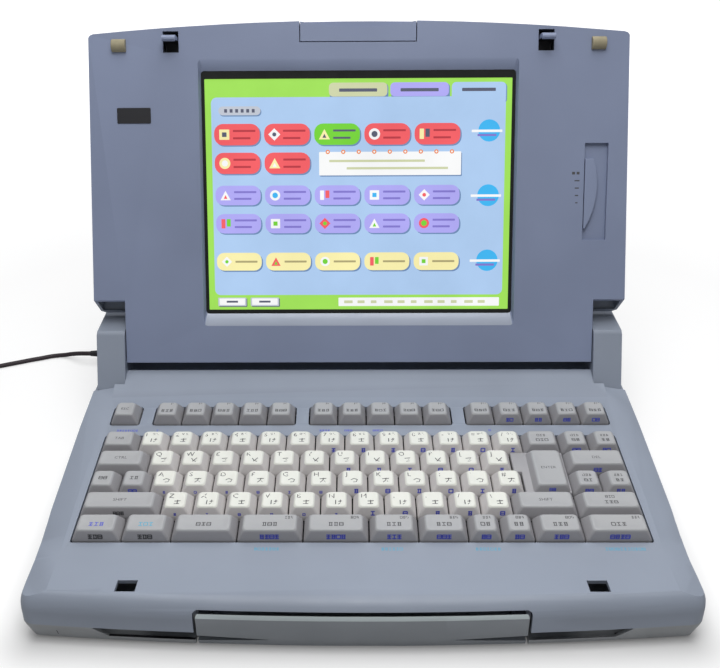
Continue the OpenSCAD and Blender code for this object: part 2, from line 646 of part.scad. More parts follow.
// A key cap over a cell of the key plane: skirt, leaning sides and a dished top
module key_cap(x, v, w, h) {
    g = key_gap / 2;
    x0 = x + g;
    x1 = x + w - g;
    v0 = v + g;
    v1 = v + h - g;
    tx0 = x0 + key_lean_side;
    tx1 = x1 - key_lean_side;
    tv0 = v0 + key_lean_front;
    tv1 = v1 - key_lean_back;
    in = 2.2;
    rings_solid([octagon(x0, x1, v0, v1, -key_skirt, key_corner), octagon(x0, x1, v0, v1, 0.4, key_corner),
        octagon(tx0, tx1, tv0, tv1, key_h, key_corner), octagon(tx0 + in, tx1 - in, tv0 + in, tv1 - in, key_h - key_dish, key_corner)]);
    translate([x + w / 2, v + h / 2, stem_end]) cylinder(r = stem_r, h = -stem_end - key_skirt + 1);
}
module key_run(r, first, last) {
    key_frame() for (k = [first:last]) key_cap(key_x(r, k), row_v[r], row_keys[r][k] * key_pitch, key_pitch);
}
module key_escape() color("darkgray") key_run(0, 0, 0);
module keys_function_left() color("darkgray") key_run(0, 1, 5);
module keys_function_middle() color("darkgray") key_run(0, 6, 10);
module keys_function_right() color("darkgray") key_run(0, 11, 15);
module key_tab() color("darkgray") key_run(1, 0, 0);
module keys_number_row() color("ghostwhite") key_run(1, 1, 13);
module keys_number_right() color("darkgray") key_run(1, 14, 16);
module key_caps() color("darkgray") key_run(2, 0, 0);
module keys_upper_row() color("ghostwhite") key_run(2, 1, 12);
module key_delete() color("darkgray") key_run(2, 13, 13);
module keys_home_left() color("darkgray") key_run(3, 0, 1);
module keys_home_row() color("ghostwhite") key_run(3, 2, 13);
module keys_home_right() color("darkgray") key_run(3, 14, 15);
module key_shift_left() color("darkgray") key_run(4, 0, 0);
module keys_lower_row() color("ghostwhite") key_run(4, 1, 11);
module keys_lower_right() color("darkgray") key_run(4, 12, 13);
module keys_bottom_left() color("darkgray") key_run(5, 0, 1);
module keys_bottom_middle() color("darkgray") key_run(5, 2, 6);
module keys_bottom_right() color("darkgray") key_run(5, 7, 10);
// Enter: a tall cap two rows deep on a low flange that steps out at the back
module key_enter() color("darkgray") key_frame() {
    g = key_gap / 2;
    x1 = enter_x + enter_w - g;
    v0 = 2 * key_pitch + g;
    v1 = 4 * key_pitch - g;
    box(enter_x + g, x1, 3 * key_pitch + g, v1, -key_skirt, enter_flange_n);
    box(enter_x + enter_step + g, x1, v0, 3 * key_pitch + g + eps, -key_skirt, enter_flange_n);
    key_cap(enter_x + enter_w - key_pitch, 2 * key_pitch, key_pitch, 2 * key_pitch);
}
// Plate under the keys with a round guide for each stem
module stem_hole(x, v) translate([x, v, plate_n - plate_t - 1]) cylinder(r = stem_r + loose_gap, h = plate_t + 2);
module key_guide_plate() color("silver") key_frame() difference() {
    half = keys_across / 2 * key_pitch;
    post_x = half + 2.2;
    union() {
        box(-post_x - 2.5, post_x + 2.5, 1, fn_v + key_pitch, plate_n - plate_t, plate_n);
        for (s = [-1, 1]) for (v = [20, 60, 110]) translate([s * post_x, v, plate_n - eps])
            cylinder(r = 1.6, h = -plate_n - wall * cos(key_slope) + eps);
    }
    for (r = [0:5]) for (k = [0:len(row_keys[r]) - 1])
        stem_hole(key_x(r, k) + row_keys[r][k] * key_pitch / 2, row_v[r] + key_pitch / 2);
    stem_hole(enter_x + enter_w - key_pitch / 2, 3 * key_pitch);
}

// Boards inside the base
floor_z = foot_h + wall;
module main_board() color("darkgreen") {
    box(-150, 40, front_y + 55, -4, floor_z + 3, floor_z + 4.6);
    for (x = [-130, -60, 10]) box(x, x + 24, -60, -36, floor_z + 4.6 - eps, floor_z + 7);
    for (x = [-140, 30]) for (y = [front_y + 60, -10]) translate([x, y, floor_z]) cylinder(r = 2.5, h = 3 + eps);
}
module power_supply() color("tan") {
    box(-160, -70, rear_y - 86, rear_y - 22, floor_z, floor_z + 3);
    box(-156, -126, rear_y - 82, rear_y - 52, floor_z + 3 - eps, floor_z + 26);
    for (x = [-112, -92]) translate([x, rear_y - 66, floor_z + 3 - eps]) cylinder(r = 7, h = 20);
}
module power_inlet() color("black") {
    box(-connector_in, -connector_in + 16, inlet_y - 12, inlet_y + 12, floor_z, inlet_z + 7);
}

// Carry handle: a bar across the front with two arms that slide in the case
handle_bar_y = front_y + 10;
handle_bottom = foot_h + 0.4;
arm_w = 7;
arm_l = 54;
// A profile in Y and Z, measured from the bowed front, carried along it
module along_front(x0, x1, n, profile) rings_solid([for (i = [0:n]) let (x = x0 + (x1 - x0) * i / n)
    [for (p = profile) [x, front_at(x) + p[0], p[1]]]]);
module handle_bar() difference() {
    intersection() {
        front_extrude(handle_bar_y, handle_bar_y - front_y + 1) rounded_top(handle_w / 2, handle_bottom, handle_top + 0.2, 2.4);
        // The same bowed front and draft as the case
        lower_shape(part_z + 30);
    }
    // Sloping top edge, and behind it the slope down to the hollow
    along_front(-handle_w / 2 - 1, handle_w / 2 + 1, 12, [[-1, handle_top - 4.8], [1.25, handle_top + 0.6], [-1, handle_top + 0.6]]);
    along_front(-handle_w / 2 - 1, handle_w / 2 + 1, 12, [[0.9, handle_top + 0.1], [13, handle_top - 12], [13, handle_top + 2],
        [0.9, handle_top + 2]]);
}
module carry_handle() color("slategray") difference() {
    union() {
        handle_bar();
        both_sides() box(handle_w / 2 - arm_w, handle_w / 2, handle_bar_y - 3.5, handle_bar_y + arm_l, part_z + 0.3, part_z + 5);
    }
    // Hollow behind the bar for the fingers
    box(-handle_w / 2 + arm_w + 6, handle_w / 2 - arm_w - 6, handle_bar_y - 3, handle_bar_y + 1, handle_bottom - 1, handle_top + 1);
    // The ends of the slits along the front
    both_sides() rings_solid([for (s = [[slit_in, 8.2, 8.5], [handle_w / 2 + 1, 5.8, 11.5]]) let (f = front_at(s[0]))
        [[s[0], f - 3, s[1]], [s[0], f + 5.8, s[1]], [s[0], f + 5.8, s[2]], [s[0], f - 3, s[2]]]]);
}

module rubber_feet() color("black") for (s = [-1, 1]) for (y = foot_y)
    translate([s * foot_x, y, 0]) cylinder(r = 8, h = foot_h);
module case_screws() color("silver") for (s = [-1, 1]) for (y = screw_y) translate([s * screw_x, y, 0]) {
    translate([0, 0, foot_h + 0.2]) cylinder(r = 2.8, h = 1.2);
    translate([0, 0, foot_h + 0.3]) cylinder(r = screw_r - run_gap, h = wall + 8);
}

// Lid outline with the neck, drawn in by inset
module lid_outline(inset) {
    low_z = lid_z0 + neck_back_h;
    difference() {
        lid_plate(inset);
        for (s = [-1, 1]) mirror([s < 0 ? 1 : 0, 0]) translate([neck_w / 2 - inset, lid_z0 - 5])
            square([60, low_z - lid_z0 + 5 + inset]);
    }
}
// Everything below the bowed top edge of the lid
module lid_arc(inset) polygon(concat([for (x = [-190:10:190]) [x, lid_side_z + lid_bow - lid_bow_r + arc_drop(lid_bow_r - inset, x)]],
    [[190, lid_z0 - 10], [-190, lid_z0 - 10]]));
module lid_plate(inset) {
    top_x = lid_top_w / 2 - inset;
    low_x = lid_low_w / 2 - inset;
    r = 3;
    intersection() {
        lid_arc(inset);
        union() {
            polygon([[-low_x, lid_z0 + inset], [low_x, lid_z0 + inset], [top_x, lid_side_z - r - inset], [-top_x, lid_side_z - r - inset]]);
            translate([-top_x + r, lid_side_z - 20]) square([2 * top_x - 2 * r, 40]);
            for (s = [-1, 1]) translate([s * (top_x - r), lid_side_z - r - inset]) circle(r);
        }
    }
}
// The slanted lower edge of the lid beside its neck
module lid_chamfer() {
    both_sides() side_extrude(neck_w / 2, lid_low_w) polygon([[-bezel_off - 1, 0], [-bezel_off - 1, lid_z0 + neck_h + 0.4],
        [lid_back_y, lid_z0 + neck_back_h], [lid_back_y + 1, 0]]);
}
module hinge_holes() {
    translate([-neck_w, 0, 0]) rotate([0, 90, 0]) cylinder(r = hinge_r + run_gap, h = 2 * neck_w);
}
screen_mid = screen_up + screen_h / 2 - lid_drop;
window_w = screen_w + 2 * gasket_side;
window_h = screen_h + gasket_top + gasket_low;
window_mid = screen_mid + (gasket_top - gasket_low) / 2;
bevel_side = 1.6;
bevel_top = 9;
bevel_low = 10.2;
module lid_bezel() color("lightslategray") lid_frame() difference() {
    front_extrude(lid_split_y, bezel_t) lid_outline(0);
    difference() {
        front_extrude(lid_split_y + eps, bezel_t - wall + eps) lid_outline(lid_wall);
        translate([0, 0, window_mid]) box(-window_w / 2 - 10, window_w / 2 + 10, -bezel_off, -bezel_off + screen_in,
            -window_h / 2 - 12.5, window_h / 2 + 12);
        box(slider_x - 3, slider_x + slider_w + 2.4, -bezel_off, -bezel_off + slider_in + 2,
            slider_z - 3, slider_z + slider_l + 3);
    }
    hull() {
        translate([0, 0, window_mid]) front_extrude(-bezel_off + screen_in + 1, 1.01) round_rect(window_w, window_h, 2);
        translate([0, 0, window_mid + (bevel_top - bevel_low) / 2]) front_extrude(-bezel_off, 1)
            round_rect(window_w + 2 * bevel_side, window_h + bevel_top + bevel_low, 3);
    }
    lid_chamfer();
    // Slider recess, open at the back for the stem of the knob
    box(slider_x, slider_x + slider_w, -bezel_off - 1, -bezel_off + slider_in, slider_z, slider_z + slider_l);
    // Hook openings and the notch of the release latch
    for (s = [-1, 1]) box(s * hook_x - hook_w / 2 - 0.8, s * hook_x + hook_w / 2 + 0.8, -bezel_off - 1, lid_split_y + 1,
        latch_z - 6.9, hook_z + hook_t + latch_travel + 0.5);
    box(-latch_w / 2 - 0.6, latch_w / 2 + 0.6, -bezel_off - 1, lid_split_y + 1, latch_z - 0.6, lid_side_z + 40);
    hinge_holes();
}
module lid_back() color("slategray") lid_frame() {
    // Posts that hold the panel against its gasket
    for (x = [-104, 104]) for (z = [screen_mid - 74, screen_mid + 74]) translate([x, -bezel_off + screen_in + 8, z])
        rotate([-90, 0, 0]) cylinder(r = 3, h = lid_back_y - wall + bezel_off - screen_in - 8 + eps);
    difference() {
        hull() {
            front_extrude(lid_back_y - 3, lid_back_y - 3 - lid_split_y) lid_plate(0);
            front_extrude(lid_back_y, 1) lid_plate(3);
        }
        difference() {
            front_extrude(lid_back_y - wall, lid_t) lid_outline(lid_wall);
            for (s = [-1, 1]) for (z = [3, 16]) translate([s * (neck_w / 2 - 14), 1, z]) rotate([-90, 0, 0]) cylinder(r = 3, h = lid_back_y);
        }
        both_sides() box(neck_w / 2, lid_low_w, -30, 30, lid_z0 - 1, lid_z0 + neck_back_h);
        lid_chamfer();
        hinge_holes();
        box(-latch_w / 2 - 0.6, latch_w / 2 + 0.6, lid_split_y - 1, lid_split_y + 5, latch_z - 0.6, lid_side_z + 40);
    }
}
module lcd_gasket() color("black") lid_frame() difference() {
    translate([0, 0, window_mid]) front_extrude(-bezel_off + screen_in + 1.2, 1.2) round_rect(window_w + 6, window_h + 6, 3);
    translate([0, 0, screen_mid]) front_extrude(-bezel_off + screen_in + 2, 4) round_rect(screen_w, screen_h, 0.6);
}
module lcd_panel() color("darkslateblue") lid_frame() translate([0, 0, screen_mid])
    box(-screen_w / 2 - 8, screen_w / 2 + 8, -bezel_off + screen_in + 1.2, -bezel_off + screen_in + 8, -screen_h / 2 - 7, screen_h / 2 + 7);
module inverter_board() color("darkgreen") lid_frame() {
    box(-70, 70, 4, 5.6, lid_z0 + 5, lid_z0 + 24);
    box(-60, -30, 0, 4 + eps, lid_z0 + 8, lid_z0 + 20);
    for (x = [-66, 66]) translate([x, 4, lid_z0 + 15]) rotate([-90, 0, 0]) cylinder(r = 2.5, h = lid_back_y - wall - 4 + eps);
}
// One sliding bar joins the release latch to both hooks
bar_y = lid_split_y + 3;
module release_latch() color("lightsteelblue") lid_frame() difference() {
    front_extrude(lid_split_y + 2.4, bezel_t + 2.4) intersection() {
        lid_arc(0);
        translate([-latch_w / 2, latch_z]) square([latch_w, 60]);
    }
    // Finger scoop
    translate([0, -bezel_off, lid_side_z + lid_bow + 190.5]) rotate([90, 0, 0]) translate([0, 0, -4]) cylinder(r = 195, h = 10, $fn = 360);
}
module latch_bar() color("silver") lid_frame() {
    box(-hook_x - hook_w / 2, hook_x + hook_w / 2, bar_y, bar_y + 2, bar_z, bar_z + bar_h);
    box(-8, 8, lid_split_y + 2.4, bar_y + 2, bar_z + bar_h - eps, latch_z + 6);
}
module hook(s) {
    tip = bezel_off + hook_reach;
    lid_frame() translate([s * hook_x, 0, 0]) {
        side_extrude(-hook_w / 2, hook_w / 2) polygon([[bar_y, bar_z], [bar_y, hook_z + hook_t],
            [-tip + 2.4, hook_z + hook_t], [-tip + 0.7, hook_z + hook_t - 0.7], [-tip, hook_z + 1.2], [-tip, hook_z],
            [-tip + 1.4, hook_z - hook_lip], [-tip + 2.2, hook_z - hook_lip], [-tip + 3, hook_z],
            [bar_y - 2.4, hook_z], [bar_y - 2.4, bar_z]]);
    }
}
module hook_left() color("black") hook(-1);
module hook_right() color("black") hook(1);
bumper_h = closed_n - deck_at_bumper - 0.4;
module lid_bumpers() color("saddlebrown") lid_frame() for (s = [-1, 1])
    translate([s * bumper_x, -bezel_off, bumper_z + bumper_l / 2]) intersection() {
        translate([-bumper_w / 2, bumper_l / 2 - bumper_h, 0]) rotate([0, 90, 0]) cylinder(r = bumper_l / 2, h = bumper_w);
        box(-bumper_w, bumper_w, -10, 0, -bumper_l, bumper_l);
    }
// Knob of the contrast slider: straight on the left, bulging on the right
module contrast_slider() color("lightsteelblue") lid_frame() front_extrude(-bezel_off + slider_in - 0.2, slider_in + 0.4)
    intersection() {
        translate([slider_x + 0.5, knob_z]) square([knob_w, knob_l]);
        translate([slider_x + 0.5 + knob_w - 60, knob_z + knob_l * 0.62]) circle(60, $fn = 180);
    }
module hinge_leaf() {
    rotate([0, 90, 0]) translate([0, 0, neck_w / 2 - 26]) cylinder(r = hinge_r, h = 26 + neck_gap + 13);
    box(neck_w / 2 - 26, neck_w / 2 - 5, -1, 1, -6, 24);
}
module hinge_left() color("silver") lid_frame() mirror([1, 0, 0]) hinge_leaf();
module hinge_right() color("silver") lid_frame() hinge_leaf();
module badge_plate() color("black") lid_frame() translate([badge_x, 0, badge_z])
    front_extrude(-bezel_off, 0.4) round_rect(badge_w, badge_h, 0.8);

// Cord: a tube swept along points, with each ring square to its neighbours
function unit(v) = v / norm(v);
function path_dir(p, i) = let (n = len(p)) unit(p[min(i + 1, n - 1)] - p[max(i - 1, 0)]);
function end_dir(p, i) = let (n = len(p)) i == 0 ? unit(p[1] - p[0]) : i == n - 1 ? unit(p[n - 1] - p[n - 2]) : path_dir(p, i);
function ring_at(c, t, r, m) = let (side = unit(cross(t, [0, 0, 1])), up = cross(side, t))
    [for (k = [0:m - 1]) c + r * (cos(360 * k / m) * side + sin(360 * k / m) * up)];
module tube(path, r, m) {
    n = len(path);
    points = [for (i = [0:n - 1]) each ring_at(path[i], end_dir(path, i), r, m)];
    walls = [for (i = [0:n - 2]) for (k = [0:m - 1])
        let (a = i * m + k, b = i * m + (k + 1) % m) each [[a, a + m, b], [b, a + m, b + m]]];
    polyhedron(points, concat([[for (k = [0:m - 1]) k]], [[for (k = [m - 1:-1:0]) (n - 1) * m + k]], walls));
}
function spline(a, b, c, d, t) = 0.5 * ((2 * b) + (c - a) * t + (2 * a - 5 * b + 4 * c - d) * t * t
    + (3 * b - a - 3 * c + d) * t * t * t);
function smooth(p) = let (n = len(p)) concat([for (i = [0:n - 2]) for (j = [0:2])
    spline(p[max(i - 1, 0)], p[i], p[i + 1], p[min(i + 2, n - 1)], j / 3)], [p[n - 1]]);
module cord() color("dimgray") tube(smooth(concat(cord_points, [[coil_x, coil_y + coil_out, floor_r]])), cord_d / 2, 8);

// Coil: loops spiral in and out by turns and climb a layer where the spiral reverses
function ramp(x) = x <= 0 ? 0 : x >= 1 ? 1 : x * x * (3 - 2 * x);
function coil_in(t) = let (k = floor(t / layer_turns), f = t - k * layer_turns) k % 2 == 0 ? f : layer_turns - f;
function coil_layer(t) = ramp((t - 2.75) * 2) + ramp((t - 5.75) * 2) + ramp((t - 8.75) * 2);
tail_t = 0.26;
function coil_radius(t) = t <= coil_turns ? coil_out - coil_pitch * coil_in(t) : coil_out + 52 * (t - coil_turns);
function coil_drop(t) = ramp((t - coil_turns - 0.09) / (tail_t - 0.09));
coil_top = 3 * coil_pitch;
plug_z = 8;
function coil_height(t) = floor_r + coil_pitch * coil_layer(t) - (coil_top + floor_r - plug_z) * coil_drop(t);
function coil_point(t) = [coil_x + coil_radius(t) * cos(90 + 360 * t), coil_y + coil_radius(t) * sin(90 + 360 * t), coil_height(t)];
tail_start = coil_point(coil_turns + tail_t);
tail_dir = [unit(tail_start - coil_point(coil_turns + tail_t - 1 / coil_rings))[0],
    unit(tail_start - coil_point(coil_turns + tail_t - 1 / coil_rings))[1], 0];
coil_path = concat([for (i = [0:coil_turns * coil_rings]) coil_point(i / coil_rings)],
    [for (i = [1:6]) coil_point(coil_turns + i * tail_t / 6)], [tail_start + tail_dir * 4, tail_start + tail_dir * 9]);
coil_gap = min([for (i = [0:2:len(coil_path) - 1]) for (j = [i + 14:1:len(coil_path) - 1]) norm(coil_path[i] - coil_path[j])]) - cord_d;
module cord_coil() color("dimgray") {
    echo(least_gap_of_the_coil_to_itself = coil_gap);
    tube(coil_path, cord_d / 2, 6);
}
plug_at = coil_path[len(coil_path) - 1];
plug_turn = atan2(tail_dir[1], tail_dir[0]);
module cord_plug() color("black") translate(plug_at) rotate([0, 0, plug_turn]) {
    rotate([0, 90, 0]) cylinder(r1 = 2.6, r2 = 4, h = 14);
    difference() {
        box(13.5, 36, -10, 10, -plug_z + 0.4, 8);
        for (s = [-1, 1]) translate([26, s * 14.5, 0]) cylinder(r = 6, h = 40, center = true);
    }
    for (s = [-1, 1]) box(36 - eps, 53, s * 6.3 - 0.75, s * 6.3 + 0.75, -3.2, 3.2);
}
module cord_connector() color("black") {
    for (s = [-1, 1]) translate([-connector_out, inlet_y + s * connector_r, inlet_z]) rotate([0, 90, 0])
        cylinder(r = connector_r, h = connector_out - connector_in);
    box(-connector_out, -connector_in, inlet_y - connector_r, inlet_y + connector_r, inlet_z - connector_r, inlet_z + connector_r);
    // Tapered strain relief
    translate([relief_x, inlet_y, inlet_z]) rotate([0, 90, 0])
        cylinder(r1 = cord_d / 2 + 0.4, r2 = connector_r - 0.4, h = relief_l + eps);
}

lower_case();
upper_case();
hinge_cover_left();
hinge_cover_right();
printer_cover();
printer_chassis();
platen();
carriage_rod();
print_carriage();
ribbon_cassette();
floppy_drive();
eject_button();
key_guide_plate();
main_board();
power_supply();
power_inlet();
switch_housing();
power_switch();
carry_handle();
rubber_feet();
case_screws();
key_escape();
keys_function_left();
keys_function_middle();
keys_function_right();
key_tab();
keys_number_row();
keys_number_right();
key_caps();
keys_upper_row();
key_delete();
key_enter();
keys_home_left();
keys_home_row();
keys_home_right();
key_shift_left();
keys_lower_row();
keys_lower_right();
keys_bottom_left();
keys_bottom_middle();
keys_bottom_right();
lid_bezel();
lid_back();
lcd_panel();
lcd_gasket();
inverter_board();
release_latch();
latch_bar();
hook_left();
hook_right();
lid_bumpers();
contrast_slider();
hinge_left();
hinge_right();
badge_plate();
cord_connector();
cord();
cord_coil();
cord_plug();
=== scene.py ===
"""Looks of the electronic word processor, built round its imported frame.

Shapes are laid out in millimetres, in the plane of the keys, in that of the lid or on the table.
In the key plane x runs to the right, v up the slope and n away from it. In the lid's plane y runs
into the lid and z up it. Build.piece turns them to metres in the row frame.
"""

import math
import random

import bpy
import bmesh
from mathutils import Matrix, Vector


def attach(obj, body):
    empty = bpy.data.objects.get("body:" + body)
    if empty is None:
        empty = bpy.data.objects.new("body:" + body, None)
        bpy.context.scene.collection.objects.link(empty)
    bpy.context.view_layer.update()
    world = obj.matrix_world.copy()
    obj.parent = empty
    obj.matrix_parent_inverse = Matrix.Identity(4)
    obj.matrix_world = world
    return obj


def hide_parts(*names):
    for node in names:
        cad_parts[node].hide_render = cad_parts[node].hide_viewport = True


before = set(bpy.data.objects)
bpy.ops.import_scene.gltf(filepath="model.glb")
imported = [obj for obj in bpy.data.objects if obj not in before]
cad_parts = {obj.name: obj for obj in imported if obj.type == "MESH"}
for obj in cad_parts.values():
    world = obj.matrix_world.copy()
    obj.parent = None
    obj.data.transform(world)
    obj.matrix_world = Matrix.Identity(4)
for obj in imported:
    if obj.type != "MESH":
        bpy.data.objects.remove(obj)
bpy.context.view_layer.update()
scene = bpy.context.scene
MM = 0.001

# Values of the frame, as in part.scad, in millimetres
KEY_Y0 = -128.0
KEY_Z0 = 31.3
SLOPE = math.radians(5)
PITCH = 19.0
KEY_GAP = 0.8
KEY_H = 8.0
KEY_SKIRT = 2.5
LEAN_SIDE = 3.3
LEAN_FRONT = 1.3
LEAN_BACK = 4.0
KEY_DISH = 0.55
STEM_R = 2.6
STEM_END = -8.5
HINGE_V = 174.67
HINGE_N = 19.31
LID_LEAN = math.radians(20)
BEZEL_OFF = 9.5
SCREEN_MID = 104.8
SCREEN_W = 210.4
SCREEN_H = 158.6
PANEL_Y = -4.1

# Key plane and lid to the row frame, all in millimetres, and millimetres to metres
KEY_M = Matrix.Translation((0, KEY_Y0, KEY_Z0)) @ Matrix.Rotation(SLOPE, 4, "X")
HINGE = KEY_M @ Vector((0, HINGE_V, HINGE_N))
LID_M = Matrix.Translation(HINGE) @ Matrix.Rotation(-LID_LEAN, 4, "X")
SCALE_M = Matrix.Scale(MM, 4)

# Camera, as solved from the photograph: its axes and place, then its lens in pixels
CAMERA_RIGHT = (0.99993347, 0.00882924, -0.00742268)
CAMERA_UP = (0.00237246, 0.47232068, 0.88142359)
CAMERA_BACK = (0.01128819, -0.88138256, 0.47226831)
CAMERA_PLACE = (-0.006052, -0.546506, 0.389779)
FOCAL_PX = 942.839
CENTRE_PX = (339.2, 334.907)
PHOTO_W = 720
PHOTO_H = 668
SENSOR_MM = 36.0


def make_camera():
    data = bpy.data.cameras.new("camera")
    data.sensor_fit = "HORIZONTAL"
    data.sensor_width = SENSOR_MM
    data.lens = FOCAL_PX / PHOTO_W * SENSOR_MM
    data.shift_x = (PHOTO_W / 2 - CENTRE_PX[0]) / PHOTO_W
    data.shift_y = (CENTRE_PX[1] - PHOTO_H / 2) / PHOTO_W
    data.clip_start = 0.01
    data.clip_end = 50
    cam = bpy.data.objects.new("camera", data)
    scene.collection.objects.link(cam)
    turn = Matrix((CAMERA_RIGHT, CAMERA_UP, CAMERA_BACK)).transposed()
    cam.matrix_world = Matrix.Translation(CAMERA_PLACE) @ turn.to_4x4()
    scene.camera = cam


# Material helpers
NOISE_LOW = 0.3
NOISE_HIGH = 0.7
EDGE_START = 0.52
EDGE_FULL = 0.60
RUBBED_SHADE = 1.35
PLASTIC_GRAIN_MM = 0.02
RUBBER_GRAIN_MM = 0.02
METAL_GRAIN_MM = 0.01
TRACK_MM = 0.02
DRAWN = (1, 60, 60)
PANEL_GLOW = 0.95


def linear(r, g, b):
    """An 8-bit screen colour as linear values."""
    def one(c):
        c = c / 255
        return c / 12.92 if c <= 0.04045 else ((c + 0.055) / 1.055) ** 2.4
    return (one(r), one(g), one(b), 1.0)


def shade(colour, k):
    """A colour made k times as bright."""
    return (min(colour[0] * k, 1), min(colour[1] * k, 1), min(colour[2] * k, 1), 1.0)


def feed(tree, n, inputs):
    """Sets inputs of a shader node, by name or number, to plain values or links them to sockets."""
    for key, value in inputs.items():
        if isinstance(value, bpy.types.NodeSocket):
            tree.links.new(value, n.inputs[key])
        else:
            n.inputs[key].default_value = value


def node(tree, kind, inputs):
    """A new shader node with its inputs set or linked."""
    n = tree.nodes.new("ShaderNode" + kind)
    feed(tree, n, inputs)
    return n


def new_material(name):
    """A new material, its node tree, its main shader and its object coordinates."""
    m = bpy.data.materials.new(name)
    m.use_nodes = True
    tree = m.node_tree
    return m, tree, tree.nodes["Principled BSDF"], node(tree, "TexCoord", {}).outputs["Object"]


def noise(tree, coords, scale, detail):
    n = node(tree, "TexNoise", {"Vector": coords, "Scale": scale, "Detail": detail})
    return n.outputs["Fac"]


def map_range(tree, value, low, high, to_low, to_high):
    n = node(tree, "MapRange", {"Value": value, "From Min": low, "From Max": high,
                                "To Min": to_low, "To Max": to_high})
    return n.outputs["Result"]


def spread(tree, value, to_low, to_high):
    """The range that a noise mostly covers, spread over another one."""
    return map_range(tree, value, NOISE_LOW, NOISE_HIGH, to_low, to_high)


def mix_colour(tree, factor, first, second):
    """Mixes two colours, each a plain one or a socket."""
    n = node(tree, "Mix", {0: factor})
    n.data_type = "RGBA"
    sides = [i for i, socket in enumerate(n.inputs) if socket.type == "RGBA"]
    feed(tree, n, dict(zip(sides, (first, second))))
    return [socket for socket in n.outputs if socket.type == "RGBA"][0]


def bump(tree, height, distance_mm, strength):
    n = node(tree, "Bump", {"Height": height, "Distance": distance_mm * MM, "Strength": strength})
    return n.outputs["Normal"]


def plastic(name, rgb, rough, grain_mm, vary, wear):
    """Moulded plastic: grain in the bump, slow change of shade and gloss, paler rubbed edges."""
    m, tree, bsdf, coords = new_material(name)
    colour = linear(*rgb)
    broad = noise(tree, coords, 14.0, 2.0)
    smudge = noise(tree, coords, 70.0, 4.0)
    grain = noise(tree, coords, 1000 / grain_mm, 2.0)
    change = spread(tree, broad, 0, 1)
    tone = mix_colour(tree, change, shade(colour, 1 - vary), shade(colour, 1 + vary))
    edge = node(tree, "NewGeometry", {}).outputs["Pointiness"]
    rub = map_range(tree, edge, EDGE_START, EDGE_FULL, 0.0, wear)
    feed(tree, bsdf, {
        "Base Color": mix_colour(tree, rub, tone, shade(colour, RUBBED_SHADE)),
        "Roughness": spread(tree, smudge, rough - 0.07, rough + 0.07),
        "Specular IOR Level": 0.4,
        "Normal": bump(tree, grain, PLASTIC_GRAIN_MM, 0.6),
    })
    return m


def rubber(name, rgb, rough, grain_mm):
    """Matt rubber with a fine grain and a little dust."""
    m, tree, bsdf, coords = new_material(name)
    colour = linear(*rgb)
    grain = noise(tree, coords, 1000 / grain_mm, 3.0)
    dust = noise(tree, coords, 120.0, 5.0)
    dusty = map_range(tree, dust, 0.45, 0.75, 0, 0.6)
    feed(tree, bsdf, {
        "Base Color": mix_colour(tree, dusty, colour, shade(colour, 1.5)),
        "Roughness": spread(tree, dust, rough - 0.08, rough + 0.1),
        "Specular IOR Level": 0.3,
        "Normal": bump(tree, grain, RUBBER_GRAIN_MM, 0.6),
    })
    return m


def metal(name, rgb, rough):
    """Sheet or turned steel with a fine drawn grain."""
    m, tree, bsdf, coords = new_material(name)
    colour = linear(*rgb)
    drawn = node(tree, "Mapping", {"Vector": coords, "Scale": DRAWN}).outputs["Vector"]
    grain = noise(tree, drawn, 60.0, 4.0)
    cloud = spread(tree, noise(tree, coords, 30.0, 3.0), 0, 1)
    feed(tree, bsdf, {
        "Base Color": mix_colour(tree, cloud, shade(colour, 0.9), shade(colour, 1.08)),
        "Roughness": spread(tree, grain, rough - 0.08, rough + 0.12),
        "Metallic": 1.0,
        "Normal": bump(tree, grain, METAL_GRAIN_MM, 0.4),
    })
    return m


def board(name, rgb, track_rgb):
    """Laminate with faint tracks under its lacquer."""
    m, tree, bsdf, coords = new_material(name)
    colour = linear(*rgb)
    tracks = node(tree, "TexBrick", {
        "Vector": coords,
        "Scale": 90.0,
        "Mortar Size": 0.03,
        "Color1": colour,
        "Color2": shade(colour, 0.8),
        "Mortar": linear(*track_rgb),
    })
    feed(tree, bsdf, {
        "Base Color": tracks.outputs["Color"],
        "Roughness": spread(tree, noise(tree, coords, 60.0, 3.0), 0.3, 0.45),
        "Normal": bump(tree, tracks.outputs["Fac"], TRACK_MM, 0.5),
    })
    return m


def lit(name, rgb):
    """A colour of the lit panel, with its faint column pattern."""
    m, tree, bsdf, coords = new_material(name)
    colour = linear(*rgb)
    columns = node(tree, "TexWave", {"Vector": coords, "Scale": 500.0, "Distortion": 0.0})
    columns.bands_direction = "X"
    stripe = map_range(tree, columns.outputs["Fac"], 0, 1, 0, 0.25)
    cloud = noise(tree, coords, 25.0, 3.0)
    tone = mix_colour(tree, spread(tree, cloud, 0, 1), shade(colour, 0.93), shade(colour, 1.04))
    feed(tree, bsdf, {
        "Emission Color": mix_colour(tree, stripe, tone, shade(colour, 0.8)),
        "Emission Strength": PANEL_GLOW,
        "Base Color": shade(colour, 0.08),
        "Roughness": spread(tree, cloud, 0.3, 0.4),
        "Specular IOR Level": 0.3,
    })
    return m


